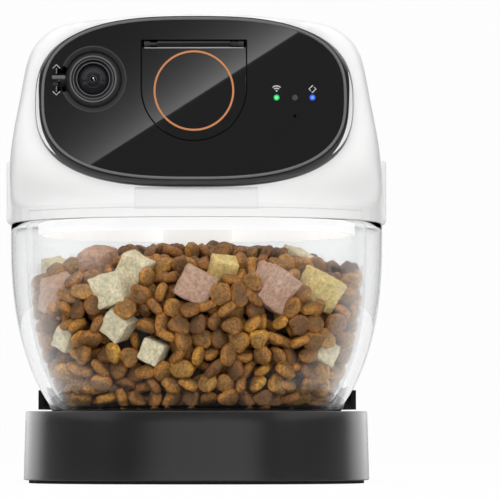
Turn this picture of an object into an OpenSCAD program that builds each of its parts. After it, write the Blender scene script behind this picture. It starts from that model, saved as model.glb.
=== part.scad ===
// Treat tossing pet camera: black base, clear hopper with an inner bin, and a lift-off head.
// The origin is the middle of the footprint on the table. The front faces -Y, and +Z is up.

/* [Base] */
// Width of the base at its foot
base_w = 185.8; // [180:0.2:200]
// Depth of the base at its foot
base_d = 150; // [140:1:165]
// Height of the base's top face above the table
base_h = 39.5; // [34:0.5:48]
// How much narrower each side of the base is at its top
base_draft = 1; // [0:0.1:2]
// Thickness of the base's walls
base_wall = 2.6; // [2:0.1:4]
// Thickness of the soft foot pad under the base
foot_h = 1.6; // [1:0.1:3]
// How far the foot pad is set in from the base's edge
foot_inset = 2.8; // [1.5:0.1:5]
// Height of the rear cradle above the base's top face
cradle_h = 10.5; // [6:0.5:14]
// Thickness of the steel ballast plate
ballast_t = 8; // [4:1:12]

/* [Hopper] */
// Width of the hopper at its rim
rim_w = 200.4; // [190:0.2:210]
// Depth of the hopper at its rim
rim_d = 157; // [150:1:165]
// Height of the hopper's rim above the table
rim_z = 139; // [130:0.5:150]
// Width of the hopper's underside
hopper_foot_w = 153; // [140:1:160]
// Depth of the hopper's underside
hopper_foot_d = 118; // [106:1:124]
// Wall thickness of the clear hopper
hopper_wall = 2.4; // [1.8:0.1:3]
// Depth of the seat that holds the hopper in the base
seat_depth = 3; // [2:0.5:5]
// Space between the hopper's wall and the bin at the rim
bin_gap = 5.8; // [4.5:0.1:7]
// Wall thickness of the inner treat bin
bin_wall = 1.6; // [1.2:0.1:2.4]
// Height of the treats at the front wall of the bin
treat_front_z = 102; // [90:1:106]
// Height of the treats at the rear wall of the bin
treat_rear_z = 114; // [100:1:118]
// Height of the top of the treat heap
treat_top_z = 123; // [112:1:126]

/* [Head] */
// Height of the top of the head above the table
head_top = 251.5; // [250:0.5:258]
// Wall thickness of the head's shells
head_wall = 2.2; // [1.8:0.1:3]
// Height of the clear skirt between the hopper and the head's shells
skirt_h = 7.5; // [6:0.5:10]
// Wall thickness of the skirt
skirt_wall = 5.5; // [5:0.1:6.5]
// Thickness of the head's floor
floor_t = 2.5; // [2:0.1:4]
// How far the collar reaches down into the bin
collar_drop = 6; // [3:0.5:8]
// Wall thickness of the collar
collar_wall = 2.4; // [1.6:0.1:3.5]
// How far the flat rear face is cut into the head's round back
rear_cut = 3; // [1.5:0.5:4.5]
// Width of the white rim above the face panel
panel_rim = 2.3; // [1.5:0.1:3.5]

/* [Face panel] */
// Width of the face panel over its bezel
panel_w = 159.6; // [150:0.2:164]
// Height of the face panel over its bezel
panel_h = 85.6; // [80:0.2:88]
// Height of the middle of the face panel above the table
panel_z = 200.3; // [198:0.1:203]
// Distance of the panel's front from the middle of the product
panel_front = 85; // [82:0.5:88]
// Depth of the panel's black body behind its front
panel_depth = 28; // [24:0.5:32]
// How far the body's foot spreads past the bezel at the sides
panel_flare = 2.8; // [1:0.1:4]
// How far the body's foot drops below the bezel
panel_chin = 2.7; // [1:0.1:4]
// Wall thickness of the panel's body
panel_wall = 2.4; // [1.8:0.1:3]
// Thickness of the gloss window
window_t = 2; // [1.4:0.1:3]
// Width of the bezel ring
bezel_w = 1.5; // [1:0.1:3]

/* [Toss door] */
// Width of the door
door_w = 53.8; // [44:0.2:58]
// Height of the middle of the door's round part above the panel's middle
door_up = 5.2; // [2:0.1:6]
// Height of the door's straight part above that middle
door_rise = 21.2; // [18:0.2:23]
// Thickness of the door
door_t = 2; // [1.4:0.1:2.6]
// Outer diameter of the door's orange ring
ring_d = 42.1; // [36:0.1:46]
// Width of the ring's line
ring_line = 1.2; // [0.8:0.1:2.4]
// Radius of the door's hinge pin
door_pin_r = 1; // [0.8:0.1:1.3]

/* [Camera] */
// Distance of the camera from the middle of the product
camera_x = 52.3; // [50:0.1:53]
// Height of the camera's axis above the panel's middle
camera_up = 10; // [8:0.1:11.5]
// Radius of the camera ball
ball_r = 16; // [14.5:0.1:16.5]
// Diameter of the round opening in the panel
dish_d = 34.1; // [33.8:0.1:36]
// Diameter of the camera's ridged ring
rings_d = 24.3; // [22:0.1:25]
// Diameter of the lens opening
lens_d = 17.1; // [14:0.1:18]
// Radius of the pins that the ball tilts on
tilt_pin_r = 1.8; // [1.4:0.1:2.2]
// Largest tilt up or down, in degrees
tilt_limit = 20; // [10:1:22]

/* [Lift] */
// Distance of the lift screw behind the middle
lift_y = 30; // [28:0.5:32]
// Inner radius of the riser tube
riser_r = 17; // [15:0.5:18]
// Wall thickness of the riser tube
riser_wall = 2; // [1.5:0.1:2.5]
// Rise of the lift screw in one turn
screw_pitch = 24; // [18:1:32]
// Teeth of the gear on the lift screw
lift_gear_teeth = 48; // [44:4:48]
// Teeth of its pinion
lift_pinion_teeth = 16; // [14:1:18]

/* [Throwing arm] */
// Height of the arm's shaft above the table
toss_z = 163; // [161:0.5:165]
// Length of the arm from its shaft to the paddle's top
arm_len = 27; // [22:1:28]
// Width of the paddle
paddle_w = 30; // [20:1:32]
// Radius of the arm's shaft
toss_shaft_r = 2; // [1.6:0.1:2.4]
// Teeth of a full circle of the arm's sector gear
sector_teeth = 30; // [26:2:32]
// Teeth of its pinion
toss_pinion_teeth = 10; // [10:1:12]

/* [Fits] */
// Gap between parts that pass each other
clear = 0.4; // [0.3:0.05:0.6]
// Radial play of a pin in its bore
play = 0.05; // [0.02:0.01:0.08]

/* [Hidden] */
seat_z = base_h - seat_depth;
bowl_floor_z = seat_z + hopper_wall;
bin_floor_z = bowl_floor_z + bin_wall;
bin_rim_z = rim_z + 0.6;
skirt_top_z = rim_z + skirt_h;
floor_top_z = skirt_top_z + floor_t;
collar_z = rim_z - collar_drop;
panel_back = panel_front - panel_depth;
rear_flat = rim_d / 2 - rear_cut;
door_z = panel_z + door_up;
camera_z = panel_z + camera_up;
carrier_t = 2.4;
round_squareness = 2.4;
base_squareness = 2.6;
panel_squareness = 2.75;
screw_r = 1.5;

// ---- outlines and skins ----

// Point in direction t of a plan outline, with its own depth and squareness in front (y < 0) and behind
function plan_point(half_w, front, back, nf, nb, t) =
    let (rear = sin(t) >= 0, n = rear ? nb : nf, d = rear ? back : front,
        r = pow(pow(abs(cos(t)) / half_w, n) + pow(abs(sin(t)) / d, n), -1 / n))
    [r * cos(t), r * sin(t)];
// Whole outline of width w and depth d
function oval(w, d, n, count = 64) =
    [for (i = [0:count - 1]) plan_point(w / 2, d / 2, d / 2, n, n, 360 * i / count)];
// The same outline as a ring at height z
function oval_ring(w, d, z, n = round_squareness, count = 56) =
    [for (p = oval(w, d, n, count)) [p[0], p[1], z]];

// Closed solid through a list of rings of as many points each
module skin(rings) {
    n = len(rings[0]);
    m = len(rings);
    polyhedron(
        points = [for (r = rings) each r],
        faces = concat(
            [[for (i = [0:n - 1]) i]],
            [for (k = [0:m - 2], i = [0:n - 1]) [k * n + i, (k + 1) * n + i, (k + 1) * n + (i + 1) % n]],
            [for (k = [0:m - 2], i = [0:n - 1]) [k * n + i, (k + 1) * n + (i + 1) % n,
                k * n + (i + 1) % n]],
            [[for (i = [n - 1:-1:0]) (m - 1) * n + i]]));
}

// Half of a domed shell, between an outer and an inner grid of points
module half_skin(outer, inner) {
    m = len(outer);
    n = len(outer[0]);
    last = (m - 1) * n;
    in = m * n;
    polyhedron(
        points = concat([for (r = outer) each r], [for (r = inner) each r]),
        faces = concat(
            [for (k = [0:m - 2], i = [0:n - 2]) [k * n + i, (k + 1) * n + i, (k + 1) * n + i + 1]],
            [for (k = [0:m - 2], i = [0:n - 2]) [k * n + i, (k + 1) * n + i + 1, k * n + i + 1]],
            [for (k = [0:m - 2], i = [0:n - 2]) [in + k * n + i, in + (k + 1) * n + i + 1,
                in + (k + 1) * n + i]],
            [for (k = [0:m - 2], i = [0:n - 2]) [in + k * n + i, in + k * n + i + 1,
                in + (k + 1) * n + i + 1]],
            [for (i = [0:n - 2]) [i, i + 1, in + i + 1, in + i]],
            [for (k = [0:m - 2]) [(k + 1) * n, k * n, in + k * n, in + (k + 1) * n]],
            [for (k = [0:m - 2])
                [k * n + n - 1, (k + 1) * n + n - 1, in + (k + 1) * n + n - 1, in + k * n + n - 1]],
            [[for (i = [n - 1:-1:0]) last + i]],
            [[for (i = [0:n - 1]) in + last + i]],
            [[last + n - 1, last, in + last, in + last + n - 1]]));
}

// Straight prism on a plan outline
module slab(w, d, z0, z1, n = round_squareness) {
    translate([0, 0, z0]) linear_extrude(z1 - z0) polygon(oval(w, d, n));
}

// Panel-shaped prism that runs along Y, from y0 to y1, centred at height z
module panel_slab(w, h, y0, y1, z = panel_z) {
    translate([0, y1, z]) rotate([90, 0, 0]) linear_extrude(y1 - y0)
        polygon(oval(w, h, panel_squareness));
}

module rod_x(r, x0, x1, y, z) {
    translate([x0, y, z]) rotate([0, 90, 0]) cylinder(r = r, h = x1 - x0, $fn = 48);
}

module rod_y(r, y0, y1, x, z) {
    translate([x, y1, z]) rotate([90, 0, 0]) cylinder(r = r, h = y1 - y0, $fn = 64);
}

module rod_z(r, z0, z1, x, y) {
    translate([x, y, z0]) cylinder(r = r, h = z1 - z0, $fn = 64);
}

module block(x0, x1, y0, y1, z0, z1) {
    translate([x0, y0, z0]) cube([x1 - x0, y1 - y0, z1 - z0]);
}

// Wire coil along +Z from the origin, with a hexagonal wire section
module coil(r, wire_r, turns, length, per_turn = 14) {
    sides = 6;
    count = turns * per_turn;
    skin([for (k = [0:count]) let (a = 360 * k / per_turn, z = length * k / count)
        [for (s = [0:sides - 1]) let (b = -360 * s / sides, q = r + wire_r * cos(b))
            [q * cos(a), q * sin(a), z + wire_r * sin(b)]]]);
}

// Involute angle at radius r on base radius rb, in degrees
function inv_angle(r, rb) = let (a = acos(min(1, rb / r))) tan(a) * 180 / PI - a;
gear_module = 1;
gear_slack = 0.12;
gear_press_angle = 20;
function tooth_side(teeth, r) =
    let (rp = teeth * gear_module / 2, rb = rp * cos(gear_press_angle),
        half = (90 - gear_slack * 90 / rp) / teeth)
    half + inv_angle(rp, rb) - inv_angle(max(r, rb), rb);
// Spur gear on Z with a tooth pointing along +X, from tooth number first to last
module spur(teeth, thickness, bore, first = 0, last = -1, phase = 0) {
    rp = teeth * gear_module / 2;
    root = rp - 1.15 * gear_module;
    tip = rp + 0.85 * gear_module;
    radii = [root, rp - 0.4 * gear_module, rp, rp + 0.45 * gear_module, tip];
    end = last < 0 ? teeth - 1 : last;
    difference() {
        linear_extrude(thickness) union() {
            circle(r = root + 0.01, $fn = 96);
            for (k = [first:end]) rotate(360 * k / teeth + phase)
                polygon(concat(
                    [[root - 0.6, -0.6]],
                    [for (r = radii) r * [cos(-tooth_side(teeth, r)), sin(-tooth_side(teeth, r))]],
                    [for (i = [len(radii) - 1:-1:0]) let (r = radii[i])
                        r * [cos(tooth_side(teeth, r)), sin(tooth_side(teeth, r))]],
                    [[root - 0.6, 0.6]]));
        }
        translate([0, 0, -1]) cylinder(r = bore, h = thickness + 2, $fn = 48);
    }
}

// ---- base ----

base_top_w = base_w - 2 * base_draft;
base_top_d = base_d - 2 * base_draft;
base_edge = 1.6;
base_rise = base_h - foot_h;
base_outer = [for (p = [[0, -0.8], [0.9, 0], [base_rise - base_edge, 0], [base_rise - 0.45, -0.5],
    [base_rise, -base_edge]])
    let (z = foot_h + p[0], s = base_draft * p[0] / base_rise)
    oval_ring(base_w - 2 * s + 2 * p[1], base_d - 2 * s + 2 * p[1], z, base_squareness, 64)];
cradle_w = rim_w * 0.865;
cradle_d = base_top_d - 9;
cradle_front = 14;
cradle_squareness = 2.9;
hopper_screw_x = hopper_foot_w / 2 - 26;
hopper_screw_y = hopper_foot_d / 2 - 20;
hopper_screw_spots = [for (x = [-1, 1], y = [-1, 1]) [x * hopper_screw_x, y * hopper_screw_y]];
boss_step_x = 8.4;
boss_step_y = 6;
base_screw_spots = [for (x = [-1, 1], y = [-1, 1])
    [x * (hopper_screw_x + boss_step_x), y * (hopper_screw_y + boss_step_y)]];
base_boss_r = 5;
plate_t = 2.2;

module base_shell() {
    color("#232325") {
        difference() {
            skin(base_outer);
            slab(hopper_side(base_h) * 2 + 2 * clear, hopper_deep(base_h) * 2 + 2 * clear, seat_z,
                base_h + 1);
            slab(base_top_w - 2 * base_wall - 2, base_top_d - 2 * base_wall - 2, foot_h - 1,
                seat_z - base_wall, base_squareness);
            for (p = hopper_screw_spots) rod_z(screw_r + 0.2, seat_z - base_wall - 1, seat_z + 1, p[0],
                p[1]);
        }
        for (p = base_screw_spots) difference() {
            rod_z(base_boss_r, foot_h + plate_t, seat_z - base_wall, p[0], p[1]);
            rod_z(screw_r, foot_h, seat_z - base_wall - 4, p[0], p[1]);
        }
    }
}

// Raised wall behind the hopper, on the base's top face
module base_cradle() {
    cradle_top = base_h + cradle_h;
    color("#232325") difference() {
        slab(cradle_w, cradle_d, base_h, cradle_top, cradle_squareness);
        block(-cradle_w, cradle_w, -cradle_d, cradle_front, base_h - 1, cradle_top + 1);
        slab(hopper_side(cradle_top) * 2 + 2 * clear, hopper_deep(cradle_top) * 2 + 2 * clear,
            base_h - 1, cradle_top + 1);
    }
}

plate_w = base_top_w - 2 * base_wall - 2 - 2 * clear;
plate_d = base_top_d - 2 * base_wall - 2 - 2 * clear;
module base_bottom_plate() {
    color("#2c2c2e") difference() {
        slab(plate_w, plate_d, foot_h, foot_h + plate_t, base_squareness);
        for (p = base_screw_spots) rod_z(screw_r + 0.2, foot_h - 1, foot_h + plate_t + 1, p[0], p[1]);
    }
}

ballast_gap = 8.6;
ballast_w = 2 * (hopper_screw_x - ballast_gap);
ballast_d = plate_d - 28;
module base_ballast() {
    color("#8d9095") block(-ballast_w / 2, ballast_w / 2, -ballast_d / 2, ballast_d / 2,
        foot_h + plate_t, foot_h + plate_t + ballast_t);
}

screw_head_r = 2.8;
screw_head_h = 1.5;
// Soft pad under the whole base, with a hole for each screw's head
module base_foot_pad() {
    color("#111113") difference() {
        slab(base_w - 2 * foot_inset, base_d - 2 * foot_inset, 0, foot_h, base_squareness);
        for (p = base_screw_spots) rod_z(screw_head_r + clear, -1, foot_h + 1, p[0], p[1]);
    }
}

module base_screws() {
    color("#b9bcc0") for (p = base_screw_spots) {
        rod_z(screw_head_r, foot_h - screw_head_h, foot_h, p[0], p[1]);
        rod_z(screw_r - play, foot_h, foot_h + plate_t + 10, p[0], p[1]);
    }
}

// ---- hopper ----

hopper_curve = 2.8;
function hopper_drop(z) = pow(max(0, (rim_z - z) / (rim_z - seat_z)), hopper_curve);
function hopper_side(z) = rim_w / 2 - (rim_w - hopper_foot_w) / 2 * hopper_drop(z);
function hopper_deep(z) = rim_d / 2 - (rim_d - hopper_foot_d) / 2 * hopper_drop(z);
hopper_steps = [0, 0.015, 0.05, 0.1, 0.17, 0.26, 0.37, 0.51, 0.7, 1];
function hopper_ring(z, inset) = oval_ring(2 * (hopper_side(z) - inset), 2 * (hopper_deep(z) - inset), z);
module hopper_bowl() {
    color([0.86, 0.9, 0.92, 0.35]) difference() {
        skin(concat(
            [hopper_ring(seat_z, 1.4)],
            [for (s = hopper_steps) if (s > 0) hopper_ring(seat_z + s * (rim_z - seat_z), 0)],
            [for (i = [len(hopper_steps) - 1:-1:0])
                hopper_ring(bowl_floor_z + hopper_steps[i] * (rim_z - bowl_floor_z),
                    hopper_wall + (i == 0 ? 1 : 0))]));
        for (p = hopper_screw_spots) rod_z(screw_r, seat_z - 1, bowl_floor_z + 1, p[0], p[1]);
    }
}

module hopper_screws() {
    color("#b9bcc0") for (p = hopper_screw_spots) {
        rod_z(screw_head_r, seat_z - base_wall - screw_head_h, seat_z - base_wall, p[0], p[1]);
        rod_z(screw_r - play, seat_z - base_wall, bowl_floor_z - clear, p[0], p[1]);
    }
}

bin_w = rim_w - 2 * (hopper_wall + bin_gap);
bin_d = rim_d - 2 * (hopper_wall + bin_gap);
bin_foot_w = hopper_foot_w - 2 * (hopper_wall + 3.4);
bin_foot_d = hopper_foot_d - 2 * (hopper_wall + 3.4);
bin_curve = 3.4;
function bin_drop(z) = pow(max(0, (bin_rim_z - z) / (bin_rim_z - bowl_floor_z)), bin_curve);
function bin_side(z) = bin_w / 2 - (bin_w - bin_foot_w) / 2 * bin_drop(z);
function bin_deep(z) = bin_d / 2 - (bin_d - bin_foot_d) / 2 * bin_drop(z);
function bin_ring(z, inset) = oval_ring(2 * (bin_side(z) - inset), 2 * (bin_deep(z) - inset), z);
bin_steps = [0, 0.03, 0.09, 0.18, 0.3, 0.46, 0.7, 1];
module treat_bin() {
    color([0.9, 0.93, 0.95, 0.3]) skin(concat(
        [bin_ring(bowl_floor_z, 2)],
        [for (s = bin_steps) if (s > 0) bin_ring(bowl_floor_z + s * (bin_rim_z - bowl_floor_z), 0)],
        [for (i = [len(bin_steps) - 1:-1:0])
            bin_ring(bin_floor_z + bin_steps[i] * (bin_rim_z - bin_floor_z),
                bin_wall + (i == 0 ? 2 : 0))]));
}

// The heap of treats: lumps along the wall and on top, the larger cubes, and a well around the riser tube
heap_side_steps = [for (k = [1:18]) k / 18];
heap_dome_steps = [for (k = [0:8]) 0.965 - 0.085 * k];
heap_lean = 8;
lumps_around = 26;
lump_points = 4;
lump_rise = 14;
lump_pitch = 20;
lump_relief = 4.6;
treat_gap = bin_wall + 0.8;
heap_low_z = bin_floor_z + 0.3;
heap_high_z = treat_top_z + 7;
function heap_edge(y) = treat_front_z + (treat_rear_z - treat_front_z) * (y + bin_d / 2) / bin_d;
// 1 on top of a lump and 0 between the lumps, in shares of their spacing
function lump(u, v) = let (k = floor(v), near = min([for (row = [k, k + 1])
    let (c = u - (row % 2) / 2) pow(c - round(c), 2) + pow(v - row, 2)]))
    max(0, 1 - near / 0.3);
function bin_point(t, z, inset) = plan_point(bin_side(z) - inset, bin_deep(z) - inset, bin_deep(z) - inset,
    round_squareness, round_squareness, t);
function heap_side_point(t, s) = let (e = heap_edge(bin_point(t, treat_front_z, treat_gap)[1]),
    z = heap_low_z + s * (e - heap_low_z),
    hollow = lump_relief * (1 - lump(lumps_around * t / 360, (z - heap_low_z) / lump_rise)),
    p = bin_point(t, z, treat_gap + hollow))
    [p[0], p[1], z];
function heap_top_point(t, s) = let (p = bin_point(t, treat_front_z, treat_gap), e = heap_edge(p[1]),
    rise = 1 - s * s, x = p[0] * s, y = p[1] * s + heap_lean * rise)
    [x, y, e + (treat_top_z - e) * rise + lump_relief * (lump(x / lump_pitch, y / lump_rise) - 0.5)];
heap_turns = [for (k = [0:lumps_around * lump_points - 1]) 360 * k / (lumps_around * lump_points)];
// Cubes: place across, height, edge, distance in from the front wall, and turns about Y and X
heap_cubes = [
    [-78, 114, 14, 30, 20, 10], [-52, 117, 17, 24, 8, 20], [-71, 100, 18, 0, 24, 15],
    [-42.5, 102, 19, 0, -14, 0], [-32, 113, 16, 10, 30, 10], [-40, 84, 13, 0, 40, 10],
    [-67, 77, 12, 0, 25, 0], [-21.5, 70, 13, 0, 25, 5], [0.5, 104, 18.5, 0, 28, 5],
    [14.5, 113, 13, 12, 8, 30], [40, 103.5, 20, 0, 32, 12], [54, 119, 15, 66, 10, 25],
    [65, 103, 19, 0, 18, 25], [66, 70.5, 13, 0, 25, 5]];
module heap_cube(c) {
    room = treat_gap + 0.7 * c[2];
    side = bin_side(c[1]) - room;
    deep = bin_deep(c[1]) - room;
    x = sign(c[0]) * min(abs(c[0]), 0.97 * side);
    y = -deep * pow(1 - pow(abs(x) / side, round_squareness), 1 / round_squareness) + c[3];
    facing = atan(1.4 * x * deep / pow(side, 2));
    translate([x, y, c[1]]) rotate([c[5], 0, facing]) rotate([0, c[4], 0]) cube(c[2], center = true);
}
// The whole heap stands in its own frame from z = 0, set to the height of its highest corner
module treat_fill() {
    color("#9a6a3a") translate([0, 0, heap_low_z]) resize([0, 0, heap_high_z - heap_low_z])
        translate([0, 0, -heap_low_z]) difference() {
            union() {
                skin(concat(
                    [[for (t = heap_turns) let (p = bin_point(t, heap_low_z, treat_gap + lump_relief))
                        [p[0], p[1], heap_low_z]]],
                    [for (s = heap_side_steps) [for (t = heap_turns) heap_side_point(t, s)]],
                    [for (s = heap_dome_steps) [for (t = heap_turns) heap_top_point(t, s)]],
                    [[for (t = heap_turns) let (p = heap_top_point(t, 0.2)) [p[0], p[1], treat_top_z]]]));
                for (c = heap_cubes) heap_cube(c);
            }
            rod_z(riser_r + riser_wall + clear, heap_low_z - 1, heap_high_z + 5, 0, lift_y);
        }
}

// ---- head ----

head_taper = 0.095;
head_rise = 10;
head_crown = 0.5;
head_squareness = 12;
front_d = rim_d / 2;
front_edge_z = panel_z + panel_h / 2 + panel_rim;
function head_u(z) = (z - rim_z) / (head_top - rim_z);
function narrowing(u) = pow((1 - cos(180 * min(u / 0.75, 1))) / 2, 1.4);
function blend(u, a, b) = let (t = max(0, min(1, (u - a) / (b - a)))) t * t * (3 - 2 * t);
function head_side(u) = rim_w / 2 * (1 - head_taper * narrowing(u)) * pow(1 - pow(u, head_rise),
    head_crown);
edge_u = head_u(front_edge_z);
function head_front(u) = (front_d - 2.2 * blend(u, 0.1, 0.4)) * (1 - 0.035 * blend(u, edge_u - 0.035,
    edge_u))
    * (u < edge_u ? 1 : pow((1 - u) / (1 - edge_u), 0.8));
function head_rear(u) = front_d * pow(1 - pow(u, 3.2), 0.3846);
function front_square(u) = round_squareness
    + (head_squareness - round_squareness) * (blend(u, 0.07, 0.5) - blend(u, edge_u - 0.07, edge_u));
function rear_limit(u) = front_d - (front_d - rear_flat) * blend(u, head_foot_u, head_foot_u + 0.07);
// Half ring of the head at share u of its height: side is 1 behind and -1 in front
function head_arc(u, inset, side, count = 30) =
    let (z0 = skirt_top_z, z = rim_z + u * (head_top - rim_z),
        zi = z0 + (z - z0) * (head_top - inset - z0) / (head_top - z0))
    [for (i = [0:count]) let (t = (side > 0 ? 0 : 180) + 180 * i / count,
        p = plan_point(head_side(u) - inset, head_front(u) - inset, head_rear(u) - inset,
            front_square(u), round_squareness, t))
        [p[0], min(p[1], rear_limit(u) - inset), zi]];
head_foot_u = head_u(skirt_top_z);
head_steps = [0.1, 0.14, 0.2, 0.28, 0.38, 0.5, 0.62, 0.73, 0.82, 0.875, 0.905, 0.928, edge_u, 0.962,
    0.98, 0.993];
function head_grid(inset, side) = concat([head_arc(head_foot_u, inset, side)],
    [for (s = head_steps) head_arc(s, inset, side)]);

release_half = 14;
release_top_z = rim_z + 34;
release_depth = 2.5;
release_proud = 1.8;
button_t = 3.4;
// Cutter of both buttons' windows, from outside down to the distance inner from the middle
module release_windows(inner = 50) {
    difference() {
        block(-rim_w, rim_w, -release_half - clear, release_half + clear, rim_z - 1, release_top_z + clear);
        block(-inner, inner, -rim_d, rim_d, rim_z - 2, head_top);
    }
}

opening_w = panel_w + 2 * panel_flare + 2 * clear;
opening_z = panel_z - panel_chin / 2;
body_foot_h = panel_h + panel_chin;
panel_screw_spots = [for (x = [-1, 1], z = [-1, 1])
    [x * (panel_w / 2 - 17.8), opening_z + z * (panel_h / 2 - 13.8)]];

module head_front_shell() {
    color("#f2f2f1") difference() {
        half_skin(head_grid(0, -1), head_grid(head_wall, -1));
        panel_slab(opening_w, body_foot_h + 2 * clear, -panel_front - 10, -front_d + 18, opening_z);
        release_windows();
    }
}

grille_pitch = 3.5;
speaker_x = 9;
speaker_z = 177;
speaker_r = 13;
port_x = -22;
port_z = floor_top_z + 8;
reset_z = port_z + 13;
socket_w = 9.4;
socket_h = 3.6;
reset_r = 2.6;
module head_rear_shell() {
    color("#f2f2f1") difference() {
        half_skin(head_grid(0, 1), head_grid(head_wall, 1));
        release_windows();
        for (k = [-3:3]) let (h = sqrt(pow(speaker_r - 2, 2) - pow(k * grille_pitch, 2)))
            block(speaker_x + k * grille_pitch - 0.9, speaker_x + k * grille_pitch + 0.9,
                rear_flat - head_wall - 1, rear_flat + 1, speaker_z - h, speaker_z + h);
        block(port_x - socket_w / 2 - 0.2, port_x + socket_w / 2 + 0.2,
            rear_flat - head_wall - 1, rear_flat + 1, port_z - socket_h / 2 - 0.2,
                port_z + socket_h / 2 + 0.2);
        rod_y(reset_r + 0.3, rear_flat - head_wall - 1, rear_flat + 1, port_x, reset_z);
    }
}

module head_skirt() {
    color([0.9, 0.92, 0.93, 0.6]) difference() {
        slab(rim_w, rim_d, rim_z + 0.3, skirt_top_z);
        slab(rim_w - 2 * skirt_wall, rim_d - 2 * skirt_wall, rim_z - 1, skirt_top_z + 1);
        release_windows(rim_w / 2 - button_t - release_depth + release_proud - clear);
    }
}

floor_w = rim_w - 2 * (head_wall + clear);
floor_d = rim_d - 2 * (head_wall + clear);
floor_rear = rear_limit(head_foot_u + 0.03) - head_wall - clear;
collar_w = rim_w - 29.2;
collar_d = rim_d - 29.2;
post_r = 3.2;
post_spots = [[-58, 2], [-34, 2], [-58, 44], [-30, 56]];
board_z = floor_top_z + 5;
release_stem_x = rim_w / 2 - 12;
module head_floor() {
    color("#e4e5e6") difference() {
        union() {
            difference() {
                slab(floor_w, floor_d, skirt_top_z, floor_top_z);
                block(-rim_w, rim_w, floor_rear, rim_d, skirt_top_z - 1, floor_top_z + 1);
                for (s = [-1, 1]) translate([s * rim_w / 2, 0, 0])
                    block(-5.2, 5.2, -release_half - clear, release_half + clear, skirt_top_z - 1,
                        floor_top_z + 1);
            }
            slab(collar_w, collar_d, collar_z, skirt_top_z + 0.1);
            for (p = post_spots) rod_z(post_r, floor_top_z - 0.1, board_z, p[0], p[1]);
            for (s = [-1, 1]) block(s * (release_stem_x - 9) - 1.5, s * (release_stem_x - 9) + 1.5, -7, 7,
                floor_top_z - 0.1, floor_top_z + 15);
        }
        slab(collar_w - 2 * collar_wall, collar_d - 2 * collar_wall, collar_z - 1, skirt_top_z);
        rod_z(riser_r + riser_wall + clear, collar_z - 1, floor_top_z + 1, 0, lift_y);
        for (p = post_spots) rod_z(1, board_z - 4, board_z + 1, p[0], p[1]);
    }
}

seal_w = bin_w + 0.6;
seal_d = bin_d + 0.6;
module hopper_seal() {
    color("#e6e9ea") difference() {
        slab(seal_w, seal_d, bin_rim_z + 0.3, skirt_top_z);
        slab(collar_w + 0.4, collar_d + 0.4, bin_rim_z - 1, skirt_top_z + 1);
    }
}

module panel_screws() {
    color("#b9bcc0") for (p = panel_screw_spots) {
        rod_y(screw_head_r, -panel_back + carrier_t, -panel_back + carrier_t + screw_head_h, p[0], p[1]);
        rod_y(screw_r - play, -panel_back - 6, -panel_back + carrier_t, p[0], p[1]);
    }
}

// ---- lift ----

riser_foot_z = bin_floor_z + 4;
riser_top_z = 219;
riser_out_r = riser_r + riser_wall;
intake_h = 20;
outlet_z = 196;
outlet_h = 20;
screw_r_out = riser_r - 0.7;
screw_core_r = 4;
drive_shaft_r = 3;
cap_t = 2.4;
lift_gear_z = riser_top_z + cap_t + 0.8;
lift_gear_t = 4.5;
lift_centre = (lift_gear_teeth + lift_pinion_teeth) * gear_module / 2 + 0.1;
lift_motor_r = 11;

module riser_tube() {
    color("#e9ebec") difference() {
        union() {
            rod_z(riser_out_r, riser_foot_z, riser_top_z, 0, lift_y);
            rod_z(riser_out_r + 5, floor_top_z, floor_top_z + 2.5, 0, lift_y);
        }
        rod_z(riser_r, riser_foot_z - 1, riser_top_z + 1, 0, lift_y);
        for (a = [0, 90, 180, 270]) translate([0, lift_y, 0]) rotate(a)
            block(-9, 9, 4, riser_out_r + 2, riser_foot_z - 1, riser_foot_z + intake_h);
        block(-11, 11, lift_y - riser_out_r - 8, lift_y - 4, outlet_z, outlet_z + outlet_h);
    }
}

module riser_cap() {
    color("#d9dbdd") difference() {
        union() {
            rod_z(riser_out_r, riser_top_z, riser_top_z + cap_t, 0, lift_y);
            block(0, lift_centre, lift_y - lift_motor_r, lift_y + lift_motor_r, riser_top_z,
                riser_top_z + cap_t);
            rod_z(lift_motor_r, riser_top_z, riser_top_z + cap_t, lift_centre, lift_y);
        }
        rod_z(drive_shaft_r + play, riser_top_z - 1, riser_top_z + cap_t + 1, 0, lift_y);
        rod_z(3.4, riser_top_z - 1, riser_top_z + cap_t + 1, lift_centre, lift_y);
    }
}

screw_foot_z = riser_foot_z + 1.5;
screw_top_z = outlet_z + 10;
flight_sweep = 40;
module lift_screw() {
    color("#f4f4f0") translate([0, lift_y, 0]) union() {
        rod_z(screw_core_r, screw_foot_z, riser_top_z - 0.5, 0, 0);
        rod_z(drive_shaft_r, riser_top_z - 1, lift_gear_z + lift_gear_t + 0.5, 0, 0);
        translate([0, 0, screw_foot_z]) linear_extrude(screw_top_z - screw_foot_z,
            twist = -360 * (screw_top_z - screw_foot_z) / screw_pitch,
            slices = round(10 * (screw_top_z - screw_foot_z) / screw_pitch), segments = 5)
            polygon(concat(
                [for (a = [-1, 1]) (screw_core_r - 1) * [cos(a * flight_sweep / 2),
                    sin(a * flight_sweep / 2)]],
                [for (a = [1, 0, -1]) screw_r_out * [cos(a * flight_sweep / 2),
                    sin(a * flight_sweep / 2)]]));
    }
}

module lift_gear() {
    color("#e7e2d2") translate([0, lift_y, lift_gear_z])
        spur(lift_gear_teeth, lift_gear_t, drive_shaft_r + play);
}

module lift_pinion() {
    color("#caa860") translate([lift_centre, lift_y, 0]) union() {
        translate([0, 0, lift_gear_z]) spur(lift_pinion_teeth, lift_gear_t, 1,
            phase = 180 + 180 / lift_pinion_teeth);
        rod_z(1.5, riser_top_z - 8, lift_gear_z + lift_gear_t + 1, 0, 0);
    }
}

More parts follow.
